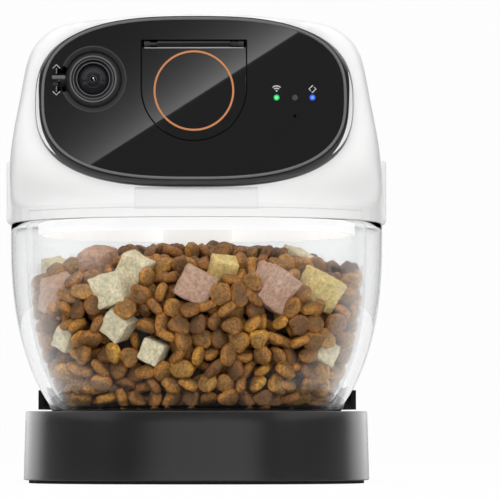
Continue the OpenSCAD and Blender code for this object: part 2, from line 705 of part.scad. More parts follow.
module lift_motor() {
    color("#a9adb2") difference() {
        union() {
            rod_z(lift_motor_r, riser_top_z - 42, riser_top_z, lift_centre, lift_y);
            rod_z(3.2, riser_top_z - 1, riser_top_z + cap_t, lift_centre, lift_y);
        }
        rod_z(1.5 + play, riser_top_z - 8.5, riser_top_z + cap_t + 1, lift_centre, lift_y);
    }
}

// ---- throwing arm ----

toss_y = 0;
sector_r = sector_teeth * gear_module / 2;
pinion_r = toss_pinion_teeth * gear_module / 2;
toss_centre = sector_r + pinion_r + 0.1;
cheek_x = paddle_w / 2 + 3;
cheek_t = 2.5;
motor_plate_x = cheek_x + cheek_t + 7;
toss_motor_r = 9;
toss_swing = 50;
toss_motor_y = toss_y + toss_centre;
sector_t = 4;
sector_x = cheek_x + cheek_t + 1;

module toss_frame() {
    color("#c9ccd0") difference() {
        union() {
            block(-cheek_x - cheek_t, motor_plate_x + cheek_t, toss_y - 12, toss_y + 5.5, floor_top_z,
                floor_top_z + 2);
            for (x = [-cheek_x - cheek_t, cheek_x])
                block(x, x + cheek_t, toss_y - 8, toss_y + 8, floor_top_z, toss_z + 6);
            block(motor_plate_x, motor_plate_x + cheek_t, toss_y - 8, toss_motor_y + 10, floor_top_z,
                toss_z + 11);
        }
        rod_x(toss_shaft_r + play, -cheek_x - cheek_t - 1, cheek_x + cheek_t + 1, toss_y, toss_z);
        rod_x(3.3, motor_plate_x - 1, motor_plate_x + cheek_t + 1, toss_motor_y, toss_z);
    }
}

chute_half = paddle_w / 2 + 0.8;
chute_t = 1.6;
cup_z = toss_z + 7;
// Trough of the treats: a slide down from the riser's outlet, side walls and the cup's floor
module toss_chute() {
    color("#eceded") {
        difference() {
            for (x = [-chute_half - chute_t, chute_half])
                block(x, x + chute_t, toss_y - 30, lift_y - riser_out_r - clear, toss_z - 4, outlet_z + 6);
            for (x = [-chute_half - chute_t, chute_half])
                block(x - 1, x + chute_t + 1, toss_y - 12, toss_y + 8, toss_z - 5, toss_z + 6 + clear);
        }
        block(-chute_half, chute_half, toss_y - 30, toss_y - 12, cup_z - 2, cup_z);
        block(-chute_half, chute_half, toss_y + 3.4, lift_y - riser_out_r - clear, outlet_z - 4,
            outlet_z - 2);
        for (x = [-chute_half - chute_t, chute_half])
            block(x, x + chute_t, toss_y - 30, toss_y - 26, floor_top_z, toss_z - 4);
    }
}

module toss_arm() {
    color("#f0f0ee") difference() {
        union() {
            rod_x(5, -paddle_w / 2 + 4, paddle_w / 2 - 4, toss_y, toss_z);
            block(-6, 6, toss_y - 1.5, toss_y + 1.5, toss_z, toss_z + arm_len - 10);
            block(-paddle_w / 2, paddle_w / 2, toss_y - 1.5, toss_y + 1.5, toss_z + 8, toss_z + arm_len);
        }
        rod_x(toss_shaft_r + play, -paddle_w, paddle_w, toss_y, toss_z);
    }
}

module toss_shaft() {
    color("#b9bcc0") rod_x(toss_shaft_r, -cheek_x - cheek_t - 1, sector_x + sector_t + 1, toss_y, toss_z);
}

sector_hub_r = 5;
// Sector that covers what the swing needs, meshing behind the shaft
module toss_sector() {
    tooth = 360 / sector_teeth;
    reach = floor(toss_swing / tooth);
    color("#e7e2d2") translate([sector_x, toss_y, toss_z]) rotate([0, 90, 0]) rotate([0, 0, 90]) {
        intersection() {
            spur(sector_teeth, sector_t, toss_shaft_r + play, first = -reach, last = 1);
            linear_extrude(sector_t) polygon(concat([[0, 0]],
                [for (k = [-reach - 0.5, -reach / 2, 1.5]) 2 * sector_r * [cos(k * tooth),
                    sin(k * tooth)]]));
        }
        difference() {
            cylinder(r = sector_hub_r, h = sector_t, $fn = 48);
            translate([0, 0, -1]) cylinder(r = toss_shaft_r + play, h = sector_t + 2, $fn = 48);
        }
    }
}

module toss_pinion() {
    color("#caa860") translate([0, toss_motor_y, toss_z]) union() {
        translate([sector_x, 0, 0]) rotate([0, 90, 0]) rotate([0, 0, 90])
            spur(toss_pinion_teeth, sector_t, 1, phase = 180 + 180 / toss_pinion_teeth);
        rod_x(1.5, sector_x - 0.5, motor_plate_x + 9.5, 0, 0);
    }
}

module toss_motor() {
    color("#a9adb2") difference() {
        union() {
            rod_x(toss_motor_r, motor_plate_x + cheek_t, motor_plate_x + cheek_t + 30, toss_motor_y,
                toss_z);
            rod_x(3.1, motor_plate_x, motor_plate_x + cheek_t + 1, toss_motor_y, toss_z);
        }
        rod_x(1.5 + play, motor_plate_x - 1, motor_plate_x + 11, toss_motor_y, toss_z);
    }
}

module toss_spring() {
    color("#9da1a6") translate([-cheek_x + 0.3, toss_y, toss_z]) rotate([0, 90, 0])
        translate([0, 0, 0.5]) coil(toss_shaft_r + 1.2, 0.4, 3, 3.2);
}

// ---- face panel ----

body_foot_w = panel_w + 2 * panel_flare;
flare_end = -panel_front + 9;
panel_lip = 0.4;
cavity_w = panel_w - 2 * panel_wall;
cavity_h = panel_h - 2 * panel_wall;
face_t = 2;
window_back = panel_front - window_t;
door_half = door_w / 2;
slot_h = 3.7;

// The door's outline, grown by g, as a prism from y0 to y1
module door_prism(g, y0, y1, top = 0) {
    r = door_half + g;
    translate([0, y1, door_z]) rotate([90, 0, 0]) linear_extrude(y1 - y0) polygon(concat(
        [for (a = [180:4:360]) r * [cos(a), sin(a)]],
        [[r, door_rise + g + top], [-r, door_rise + g + top]]));
}

lever_x = camera_x + ball_r + 2.8;
lever_slot_w = 4.2;
lever_reach = 14.2;
lever_slot_h = 2 * (lever_reach * sin(tilt_limit) + 1.9);
lamp_z = panel_z + 0.2;
lamp_green_x = 42.9;
lamp_blue_x = 61.5;
sensor_x = 52.4;
mic_z = panel_z - 9.5;
lamp_r = 1.5;
mic_r = 0.8;

module panel_holes(y0, y1) {
    door_prism(clear, y0, y1, slot_h);
    rod_y(dish_d / 2, y0, y1, -camera_x, camera_z);
    block(-lever_x - lever_slot_w / 2, -lever_x + lever_slot_w / 2, y0, y1,
        camera_z - lever_slot_h / 2, camera_z + lever_slot_h / 2);
    for (x = [lamp_green_x, sensor_x, lamp_blue_x]) rod_y(lamp_r + 0.1, y0, y1, x, lamp_z);
    rod_y(mic_r, y0, y1, sensor_x, mic_z);
}

panel_boss_r = 3.4;
module panel_body() {
    color("#0d0d0f") difference() {
        union() {
            hull() {
                panel_slab(panel_w, panel_h, -panel_front, -panel_front + 0.5);
                panel_slab(body_foot_w, body_foot_h, flare_end, flare_end + 0.5, opening_z);
            }
            panel_slab(body_foot_w, body_foot_h, flare_end, -panel_back, opening_z);
        }
        panel_slab(panel_w - 1, panel_h - 1, -panel_front - 1, -window_back);
        panel_slab(cavity_w, cavity_h, -window_back + face_t, -panel_back + 1);
        panel_holes(-window_back - 1, -window_back + face_t + 1);
        for (p = panel_screw_spots) rod_y(screw_r, -panel_back - 6.3, -panel_back + 1, p[0], p[1]);
    }
    color("#0d0d0f") for (p = panel_screw_spots) difference() {
        rod_y(panel_boss_r, -panel_back - 10, -panel_back, p[0], p[1]);
        rod_y(screw_r, -panel_back - 6.3, -panel_back + 1, p[0], p[1]);
    }
}

module panel_bezel() {
    color("#8f9296") difference() {
        panel_slab(panel_w - 1, panel_h - 1, -panel_front - panel_lip, -window_back);
        panel_slab(panel_w - 2 * bezel_w - 1, panel_h - 2 * bezel_w - 1, -panel_front - 1,
            -window_back + 1);
    }
}

module panel_window() {
    color("#151517") difference() {
        panel_slab(panel_w - 2 * bezel_w - 1, panel_h - 2 * bezel_w - 1, -panel_front, -window_back);
        panel_holes(-panel_front - 1, -window_back + 1);
    }
}

// Plate that closes the back of the panel and carries what sits in it
throat_half = door_half - 2;
throat_low_z = door_z - 23;
throat_top_z = door_z + door_rise - 2;
module panel_carrier() {
    color("#3a3b3e") difference() {
        panel_slab(body_foot_w, body_foot_h, -panel_back, -panel_back + carrier_t, opening_z);
        block(-throat_half - 2, throat_half + 2, -panel_front, 0, throat_low_z - 2, throat_top_z + 2);
        for (p = panel_screw_spots) rod_y(screw_r, -panel_front, 0, p[0], p[1]);
    }
}

// ---- toss door ----

hinge_y = -panel_front + door_t / 2 + 0.4;
hinge_z = door_z + door_rise + 1.9;
knuckle_r = 1.8;
knuckle_half = 19;
ring_z = door_z - 1.3;
ring_groove = 0.6;
module toss_door() {
    color("#121214") difference() {
        union() {
            door_prism(0, -panel_front, -panel_front + door_t);
            rod_x(knuckle_r, -knuckle_half, knuckle_half, hinge_y, hinge_z);
            block(-knuckle_half, knuckle_half, -panel_front + 0.2, -panel_front + door_t,
                door_z + door_rise - 1, hinge_z);
        }
        rod_x(door_pin_r + play, -door_w, door_w, hinge_y, hinge_z);
        difference() {
            rod_y(ring_d / 2, -panel_front - 1, -panel_front + ring_groove, 0, ring_z);
            rod_y(ring_d / 2 - ring_line, -panel_front - 2, -panel_front + 1, 0, ring_z);
        }
    }
}

module door_ring() {
    color("#d68c5a") difference() {
        rod_y(ring_d / 2 - 0.02, -panel_front - 0.15, -panel_front + ring_groove, 0, ring_z);
        rod_y(ring_d / 2 - ring_line + 0.02, -panel_front - 1, -panel_front + 1, 0, ring_z);
    }
}

module door_pin() {
    color("#b9bcc0") rod_x(door_pin_r, -door_half + 1, door_half - 1, hinge_y, hinge_z);
}

module door_spring() {
    color("#9da1a6") translate([knuckle_half + 0.6, hinge_y, hinge_z]) rotate([0, 90, 0])
        coil(door_pin_r + 0.45, 0.25, 4, 2.6, 12);
}

// Tunnel behind the door that guides the treat out
throat_wall = 1.6;
pin_ear_x = door_half - 2.5;
pin_ear_t = 1.5;
pin_ear_r = 1.6;
module door_throat() {
    front = window_back - face_t;
    color("#1b1b1d") difference() {
        union() {
            block(-throat_half - throat_wall, throat_half + throat_wall, -front, -panel_back + 26.5,
                throat_low_z - throat_wall, throat_top_z + throat_wall);
            for (x = [-pin_ear_x, pin_ear_x]) {
                block(x - pin_ear_t, x + pin_ear_t, hinge_y, -front + 3, hinge_z - pin_ear_r,
                    hinge_z + pin_ear_r);
                block(x - pin_ear_t, x + pin_ear_t, -front, -front + 3, throat_top_z, hinge_z);
                rod_x(pin_ear_r, x - pin_ear_t, x + pin_ear_t, hinge_y, hinge_z);
            }
        }
        rod_x(door_pin_r + play, -door_w, door_w, hinge_y, hinge_z);
        block(-throat_half, throat_half, -panel_front, 0, throat_low_z, throat_top_z);
    }
}

// ---- camera ----

camera_y = -panel_front + 10.5;
ball_face = sqrt(pow(ball_r, 2) - pow(rings_d / 2, 2));
flat_x = ball_r - 1.2;
module on_camera() {
    translate([-camera_x, camera_y, camera_z]) children();
}

ball_wall = 2;
// Hollow ball, turned about the line of sight, open behind and bored in front
module camera_ball() {
    inner = ball_r - ball_wall;
    seat = rings_d / 2 - 1.4;
    back = 62;
    step_z = ball_face - 3.5;
    inside_z = step_z - ball_wall;
    inside_angle = asin(inside_z / inner);
    face_angle = asin(ball_face / ball_r);
    color("#1a1a1c") on_camera() difference() {
        rotate([90, 0, 0]) rotate_extrude($fn = 96) polygon(concat(
            [for (k = [0:16]) let (a = -back + (back + face_angle) * k / 16) ball_r * [cos(a), sin(a)]],
            [[seat, ball_face], [seat, step_z], [lens_d / 2, step_z], [lens_d / 2, inside_z]],
            [for (k = [0:8]) let (a = inside_angle - (back + inside_angle) * k / 8)
                inner * [cos(a), sin(a)]]));
        for (s = [-1, 1]) translate([s > 0 ? flat_x : -flat_x - 10, -20, -20]) cube([10, 40, 40]);
        translate([-30, 0, 0]) rotate([0, 90, 0]) cylinder(r = tilt_pin_r + play, h = 60, $fn = 48);
    }
}

// Stepped trim around the lens
module camera_rings() {
    outer = rings_d / 2 - 1.45;
    color("#3b3c3f") on_camera() rotate([90, 0, 0]) rotate_extrude($fn = 96) polygon([
        [lens_d / 2, ball_face - 3.5], [outer, ball_face - 3.5], [outer, ball_face],
        [outer + 1.4, ball_face], [outer + 1.4, ball_face + 0.5], [outer - 0.4, ball_face + 0.5],
        [outer - 0.8, ball_face - 0.5], [outer - 1.4, ball_face - 0.5], [outer - 1.6, ball_face],
        [outer - 2, ball_face], [lens_d / 2, ball_face - 1.4]]);
}

module lens_barrel() {
    color("#0b0b0d") on_camera() rotate([90, 0, 0]) rotate_extrude($fn = 96) polygon([
        [0, ball_face - 9], [lens_d / 2 - 0.05, ball_face - 9], [lens_d / 2 - 0.05, ball_face - 2.4],
        [lens_d / 2 - 1.4, ball_face - 2.4], [3, ball_face - 5], [1.6, ball_face - 6.5],
            [0, ball_face - 6.5]]);
}

lens_bulge = 3.2;
module lens_glass() {
    r = lens_d / 2 - 0.1;
    curve = (r * r + lens_bulge * lens_bulge) / (2 * lens_bulge);
    color([0.2, 0.22, 0.28, 0.5]) on_camera() translate([0, -ball_face + 2.4, 0]) rotate([90, 0, 0])
        difference() {
            intersection() {
                translate([0, 0, lens_bulge - curve]) sphere(r = curve, $fn = 96);
                cylinder(r = r, h = lens_bulge + 1, $fn = 96);
            }
            translate([0, 0, lens_bulge - curve]) sphere(r = curve - 0.9, $fn = 96);
        }
}

module camera_board() {
    color("#1f6b3a") on_camera() rotate([90, 0, 0])
        translate([0, 0, ball_face - 10.6]) cylinder(r = lens_d / 2 + 0.5, h = 1.6, $fn = 64);
}

lever_hub_r = 4.4;
module tilt_lever() {
    color("#a5a8ac") on_camera() difference() {
        union() {
            translate([-flat_x - 4.6, 0, 0]) rotate([0, 90, 0])
                cylinder(r = lever_hub_r, h = 4.6, $fn = 48);
            translate([-flat_x - 4.6, -lever_reach, -1.4]) cube([2.2, lever_reach, 2.8]);
            translate([-(lever_x - camera_x) - 2.4, -lever_reach - 0.6, -1.5]) cube([7, 1.8, 3]);
        }
        translate([-30, 0, 0]) rotate([0, 90, 0]) cylinder(r = tilt_pin_r + play, h = 60, $fn = 48);
    }
}

ear_t = 2;
ear_left = flat_x + 4.6 + 0.3;
ear_right = flat_x + 0.4;
pin_seat = 5;
module camera_bracket() {
    color("#45474a") on_camera() difference() {
        union() {
            translate([-ear_left - ear_t, -4.5, -4.5]) cube([ear_t, -panel_back - camera_y + 4.5, 9]);
            translate([ear_right, -4.5, -4.5]) cube([ear_t, -panel_back - camera_y + 4.5, 9]);
        }
        translate([-30, 0, 0]) rotate([0, 90, 0]) cylinder(r = tilt_pin_r + play, h = 60, $fn = 48);
    }
}

module camera_pins() {
    color("#b9bcc0") on_camera() {
        translate([-ear_left - ear_t, 0, 0]) rotate([0, 90, 0])
            cylinder(r = tilt_pin_r, h = ear_t + 0.3 + 4.6 + pin_seat, $fn = 48);
        translate([ear_right - 0.4 - pin_seat, 0, 0]) rotate([0, 90, 0])
            cylinder(r = tilt_pin_r, h = ear_t + 0.4 + pin_seat, $fn = 48);
    }
}

// ---- indicators, boards, sound ----

indicator_y = -panel_front + 12;
lamp_top = 0.1;
module indicator_board() {
    color("#1f6b3a") {
        block(lamp_green_x - 6, lamp_blue_x + 6, indicator_y, indicator_y + 1.6, mic_z - 5, lamp_z + 6);
        for (x = [lamp_green_x, lamp_blue_x])
            block(x - 1.5, x + 1.5, indicator_y + 1.6, -panel_back, lamp_z - 1.5, lamp_z + 1.5);
    }
}

module lamp_green() {
    color("#35d46a") rod_y(lamp_r, -panel_front - lamp_top, indicator_y, lamp_green_x, lamp_z);
}

module lamp_blue() {
    color("#3d6ff0") rod_y(lamp_r, -panel_front - lamp_top, indicator_y, lamp_blue_x, lamp_z);
}

module light_sensor() {
    color("#6d7076") rod_y(lamp_r, -panel_front + 0.1, indicator_y, sensor_x, lamp_z);
}

module microphone() {
    color("#8a8d92") rod_y(3, -window_back + face_t, indicator_y, sensor_x, mic_z);
}

module main_board() {
    color("#1f6b3a") difference() {
        union() {
            block(-62, -26, -2, 60, board_z, board_z + 1.6);
            block(-56, -44, 8, 20, board_z + 1.6, board_z + 3);
            block(-40, -31, 10, 26, board_z + 1.6, board_z + 4);
        }
        for (p = post_spots) rod_z(1.1, board_z - 1, board_z + 2, p[0], p[1]);
    }
}

port_board_y = rear_flat - head_wall - 7.4;
module port_board() {
    color("#1f6b3a") block(port_x - 9, port_x + 9, port_board_y, port_board_y + 1.6, floor_top_z,
        reset_z + 6);
}

module power_socket() {
    color("#c4c7cb") difference() {
        block(port_x - socket_w / 2, port_x + socket_w / 2, port_board_y + 1.6, rear_flat - 0.4,
            port_z - socket_h / 2, port_z + socket_h / 2);
        block(port_x - socket_w / 2 + 0.5, port_x + socket_w / 2 - 0.5, port_board_y + 2.6, rear_flat + 1,
            port_z - socket_h / 2 + 0.5, port_z + socket_h / 2 - 0.5);
    }
}

reset_travel = 0.8;
module reset_button() {
    color("#d4d6d8") union() {
        rod_y(reset_r, rear_flat - head_wall - 1, rear_flat + 0.6, port_x, reset_z);
        rod_y(reset_r + 1, rear_flat - head_wall - 2, rear_flat - head_wall - 0.3, port_x, reset_z);
        rod_y(1.2, port_board_y + 1.6 + reset_travel + 0.3, rear_flat - head_wall - 1, port_x, reset_z);
    }
}

module speaker() {
    back = rear_flat - head_wall - 0.8;
    color("#2b2c2f") difference() {
        union() {
            rod_y(speaker_r, back - 4, back, speaker_x, speaker_z);
            rod_y(speaker_r * 0.6, back - 10, back - 3, speaker_x, speaker_z);
        }
        rod_y(speaker_r - 2, back - 1.5, back + 1, speaker_x, speaker_z);
    }
}

// ---- release buttons ----

module release_button(s) {
    face = rim_w / 2 + release_proud;
    stem_end = face - button_t + 0.1;
    color("#ececeb") {
        block(min(s * (face - button_t), s * face), max(s * (face - button_t), s * face),
            -release_half, release_half, rim_z + 0.35, release_top_z);
        block(min(s * release_stem_x, s * stem_end), max(s * release_stem_x, s * stem_end), -6, 6,
            floor_top_z + 3, floor_top_z + 11);
    }
}
module release_left() { release_button(-1); }
module release_right() { release_button(1); }

module release_springs() {
    post = release_stem_x - 9 + 1.5;
    color("#9da1a6") for (s = [-1, 1])
        translate([s * (post + 0.4), 0, floor_top_z + 7]) rotate([0, s * 90, 0]) coil(2.6, 0.35, 4, 4);
}

base_shell();
base_cradle();
base_bottom_plate();
base_ballast();
base_foot_pad();
base_screws();
hopper_bowl();
hopper_screws();
treat_bin();
treat_fill();
head_skirt();
head_floor();
hopper_seal();
head_front_shell();
head_rear_shell();
panel_screws();
riser_tube();
riser_cap();
lift_screw();
lift_gear();
lift_pinion();
lift_motor();
toss_frame();
toss_chute();
toss_arm();
toss_shaft();
toss_sector();
toss_pinion();
toss_motor();
toss_spring();
panel_body();
panel_bezel();
panel_window();
panel_carrier();
toss_door();
door_ring();
door_pin();
door_spring();
door_throat();
camera_bracket();
camera_pins();
camera_ball();
camera_rings();
lens_barrel();
lens_glass();
camera_board();
tilt_lever();
indicator_board();
lamp_green();
lamp_blue();
light_sensor();
microphone();
main_board();
port_board();
power_socket();
reset_button();
speaker();
release_left();
release_right();
release_springs();
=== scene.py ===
"""Treat tossing pet camera: dressed model, studio, lights and camera. Metres, +Z up, the front faces -Y."""

import math
import random

import bmesh
import bpy
import numpy as np
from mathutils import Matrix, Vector, noise

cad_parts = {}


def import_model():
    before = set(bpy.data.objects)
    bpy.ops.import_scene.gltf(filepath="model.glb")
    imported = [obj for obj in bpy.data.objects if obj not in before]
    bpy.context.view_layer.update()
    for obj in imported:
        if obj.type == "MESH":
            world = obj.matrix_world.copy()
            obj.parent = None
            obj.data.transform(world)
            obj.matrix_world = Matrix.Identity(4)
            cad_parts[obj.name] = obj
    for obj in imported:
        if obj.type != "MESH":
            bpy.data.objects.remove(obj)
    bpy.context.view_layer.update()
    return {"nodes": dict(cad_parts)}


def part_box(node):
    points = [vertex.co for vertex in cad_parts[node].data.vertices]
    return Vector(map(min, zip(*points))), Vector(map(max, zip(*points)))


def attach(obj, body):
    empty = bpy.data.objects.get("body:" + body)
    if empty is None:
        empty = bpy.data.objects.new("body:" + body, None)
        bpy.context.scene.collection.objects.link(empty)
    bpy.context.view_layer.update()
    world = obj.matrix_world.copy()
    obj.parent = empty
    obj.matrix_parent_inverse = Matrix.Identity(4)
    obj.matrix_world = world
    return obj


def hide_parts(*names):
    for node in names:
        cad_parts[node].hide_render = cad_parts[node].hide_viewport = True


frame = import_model()
NODES = frame["nodes"]
MM = 0.001


# --- sizes, in mm


def node_box(name):
    """Lowest and highest corner of a CAD node, in mm."""
    low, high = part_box(name)
    return [v * 1000 for v in low], [v * 1000 for v in high]


def node_middle(name):
    """Centre of a CAD node's box, in mm."""
    low, high = node_box(name)
    return [(a + b) / 2 for a, b in zip(low, high)]


BOWL_LOW, BOWL_HIGH = node_box("hopper_bowl")
RIM_W = BOWL_HIGH[0] - BOWL_LOW[0]
RIM_D = BOWL_HIGH[1] - BOWL_LOW[1]
SEAT_Z, RIM_Z = BOWL_LOW[2], BOWL_HIGH[2]
HOPPER_FOOT_W, HOPPER_FOOT_D = 153, 118
HOPPER_WALL, BIN_WALL, BIN_GAP, BIN_FOOT_GAP = 2.4, 1.6, 5.8, 3.4
HOPPER_CURVE, BIN_CURVE = 2.8, 3.4
ROUND = 2.4
BOWL_FLOOR_Z = SEAT_Z + HOPPER_WALL
BIN_FLOOR_Z = BOWL_FLOOR_Z + BIN_WALL
BIN_RIM_Z = node_box("treat_bin")[1][2]
SKIRT_TOP_Z = node_box("head_skirt")[1][2]
# The crown's curve ends above its last ring by this much
CROWN_TRIM = 0.15
HEAD_TOP = node_box("head_front_shell")[1][2] + CROWN_TRIM
HEAD_WALL = 2.2
REAR_FLAT = node_box("head_rear_shell")[1][1]
BODY_LOW, BODY_HIGH = node_box("panel_body")
PANEL_W, PANEL_H, PANEL_Z = 159.6, 85.6, 200.3
PANEL_FRONT = -BODY_LOW[1]
PANEL_RIM = 2.3
PANEL_SQUARE = 2.75
FOOT_W, FOOT_H = BODY_HIGH[0] - BODY_LOW[0], BODY_HIGH[2] - BODY_LOW[2]
FOOT_Z = (BODY_HIGH[2] + BODY_LOW[2]) / 2
CLEAR = 0.4
RELEASE_HALF, RELEASE_TOP_Z, BUTTON_T, BUTTON_PROUD = 14, RIM_Z + 34, 3.4, 1.8
CAMERA = (-52.3, -74.5, 210.3)
BALL_R, RINGS_D, LENS_D = 16, 24.3, 17.1
BALL_FACE = math.sqrt(BALL_R**2 - (RINGS_D / 2) ** 2)
LIFT_Y, RISER_OUT_R = 30, 19


# --- materials


def shader_node(tree, kind, sockets=(), **settings):
    """A shader node with its settings. Each socket gets a value or another node's output."""
    made = tree.nodes.new("ShaderNode" + kind)
    for key, value in settings.items():
        setattr(made, key, value)
    for key, value in dict(sockets).items():
        if isinstance(value, bpy.types.NodeSocket):
            tree.links.new(value, made.inputs[key])
        else:
            made.inputs[key].default_value = value
    return made


def math_out(tree, operation, *values, clamp=False):
    """Output of a math node over the values."""
    return shader_node(tree, "Math", enumerate(values), operation=operation, use_clamp=clamp).outputs[0]


def mixed(tree, share, first, second):
    """Two shaders mixed by the share of the second."""
    return shader_node(tree, "MixShader", {0: share, 1: first.outputs[0], 2: second.outputs[0]})


def new_material(name):
    """A material, its node tree and its Principled shader."""
    mat = bpy.data.materials.new(name)
    mat.use_nodes = True
    return mat, mat.node_tree, mat.node_tree.nodes["Principled BSDF"]


def surface_group():
    """Shared finish: fine colour drift, roughness drift and grain, all changing over the surface."""
    tree = bpy.data.node_groups.new("surface_finish", "ShaderNodeTree")
    sockets = [("INPUT", "Color", "Color"), ("OUTPUT", "Color", "Color"), ("OUTPUT", "Roughness", "Float"),
               ("OUTPUT", "Normal", "Vector")]
    sockets += [("INPUT", name, "Float")
                for name in ("Drift", "Drift Scale", "Rough", "Rough Drift", "Grain Scale", "Grain")]
    for way, name, kind in sockets:
        tree.interface.new_socket(name=name, in_out=way, socket_type="NodeSocket" + kind)
    given, leave = tree.nodes.new("NodeGroupInput").outputs, tree.nodes.new("NodeGroupOutput").inputs
    where = shader_node(tree, "TexCoord").outputs["Object"]
    wide, fine = (shader_node(tree, "TexNoise", {"Vector": where, "Scale": given[scale], "Detail": detail})
                  for scale, detail in (("Drift Scale", 4), ("Grain Scale", 2)))
    tone = shader_node(tree, "MapRange", {"Value": wide.outputs["Fac"], "From Min": 0.3, "From Max": 0.7,
                                          "To Min": math_out(tree, "SUBTRACT", 1, given["Drift"]),
                                          "To Max": math_out(tree, "ADD", 1, given["Drift"])})
    shade = shader_node(tree, "VectorMath", {0: given["Color"], "Scale": tone.outputs["Result"]},
                        operation="SCALE")
    off = math_out(tree, "SUBTRACT", wide.outputs["Fac"], 0.5)
    bump = shader_node(tree, "Bump", {"Strength": given["Grain"], "Distance": 0.0004,
                                      "Height": fine.outputs["Fac"]})
    rough = math_out(tree, "MULTIPLY_ADD", off, given["Rough Drift"], given["Rough"])
    tree.links.new(shade.outputs["Vector"], leave["Color"])
    tree.links.new(rough, leave["Roughness"])
    tree.links.new(bump.outputs["Normal"], leave["Normal"])
    return tree


FINISH = surface_group()


def material(name, color, rough=0.4, drift=0.03, drift_scale=20, grain=0.06, grain_scale=2500,
             rough_drift=0.06, **constants):
    """A Principled material whose colour, roughness and grain come from the shared finish."""
    mat, tree, shader = new_material(name)
    finish = shader_node(tree, "Group", node_tree=FINISH, name="Finish")
    for key, value in (("Color", (*color, 1)), ("Rough", rough), ("Drift", drift),
                       ("Drift Scale", drift_scale), ("Grain", grain), ("Grain Scale", grain_scale),
                       ("Rough Drift", rough_drift)):
        finish.inputs[key].default_value = value
    for source, target in (("Color", "Base Color"), ("Roughness", "Roughness"), ("Normal", "Normal")):
        tree.links.new(finish.outputs[source], shader.inputs[target])
    if "emission_strength" in constants:
        shader.inputs["Emission Color"].default_value = (*color, 1)
    for key, value in constants.items():
        shader.inputs[key.replace("_", " ").title().replace("Ior", "IOR")].default_value = value
    return mat


def clear_material(name, tint):
    """Clear moulded plastic. Light that falls through it onto other pieces isn't bent."""
    mat, tree, shader = new_material(name)
    for key, value in (("Base Color", (*tint, 1)), ("Roughness", 0.02), ("IOR", 1.46),
                       ("Transmission Weight", 1)):
        shader.inputs[key].default_value = value
    waves = shader_node(tree, "TexNoise", {"Scale": 26})
    ripple = shader_node(tree, "Bump", {"Strength": 0.02, "Height": waves.outputs["Fac"]})
    tree.links.new(ripple.outputs["Normal"], shader.inputs["Normal"])
    see = shader_node(tree, "BsdfTransparent", {"Color": (*(c**0.5 for c in tint), 1)})
    rays = shader_node(tree, "LightPath").outputs
    through = math_out(tree, "MAXIMUM", rays["Is Shadow Ray"], rays["Is Diffuse Ray"])
    mix = mixed(tree, through, shader, see)
    tree.links.new(mix.outputs[0], tree.nodes["Material Output"].inputs["Surface"])
    return mat


def speckled(mat, dark, amount, scale, pits):
    """Adds small dark crumbs and pits over a food material's colour."""
    tree = mat.node_tree
    shader = tree.nodes["Principled BSDF"]
    where = shader_node(tree, "TexCoord").outputs["Object"]
    crumbs = shader_node(tree, "TexNoise", {"Vector": where, "Scale": scale, "Detail": 5, "Roughness": 0.65})
    crumb = crumbs.outputs["Fac"]
    share = shader_node(tree, "MapRange", {"Value": crumb, "From Min": 0.36, "From Max": 0.6,
                                           "To Min": amount, "To Max": 0})
    base = shader.inputs["Base Color"].links[0].from_socket
    mix = shader_node(tree, "Mix", {"Factor": share.outputs["Result"], "A": base, "B": (*dark, 1)},
                      data_type="RGBA")
    bump = shader_node(tree, "Bump", {"Strength": pits, "Distance": 0.0006, "Height": crumb})
    tree.links.new(mix.outputs["Result"], shader.inputs["Base Color"])
    tree.links.new(bump.outputs["Normal"], shader.inputs["Normal"])
    return mat


def baked_food(mat):
    """Colours each treat by its own tone: a dull face, a toasted rim, and painted shade that makes the pieces
    at the back greyer.
    """
    tree = mat.node_tree
    tone, crust, dull = (shader_node(tree, "Attribute", attribute_name=name).outputs["Fac"]
                         for name in ("tone", "crust", "dull"))
    ramps = []
    for colours in (FACE_TONES, RIM_TONES):
        ramp = shader_node(tree, "ValToRGB", {"Fac": tone})
        marks = ramp.color_ramp.elements
        last = len(colours) - 1
        for i in range(2, last + 1):
            marks.new(i / last)
        for i, colour in enumerate(colours):
            marks[i].position = i / last
            marks[i].color = (*colour, 1)
        ramps.append(ramp.outputs["Color"])
    body = shader_node(tree, "Mix", {"Factor": crust, "A": ramps[0], "B": ramps[1]}, data_type="RGBA")
    # Painted shade: greys the pieces at the back.
    grey = shader_node(tree, "Mix", {"Factor": dull, "A": body.outputs["Result"], "B": (*BACK_SHADE_TONE, 1)},
                       data_type="RGBA")
    tree.links.new(grey.outputs["Result"], tree.nodes["Finish"].inputs["Color"])
    return mat


# Toasted rims and dull faces of the kibble, from the darkest piece to the most golden
RIM_TONES = [(0.27, 0.118, 0.038), (0.48, 0.2, 0.043), (0.66, 0.29, 0.05), (0.85, 0.43, 0.06)]
FACE_TONES = [(0.19, 0.098, 0.042), (0.3, 0.147, 0.05), (0.44, 0.22, 0.056), (0.6, 0.31, 0.066)]
# Grey-brown of the painted shade on the pieces at the back.
BACK_SHADE_TONE = (0.2, 0.14, 0.1)

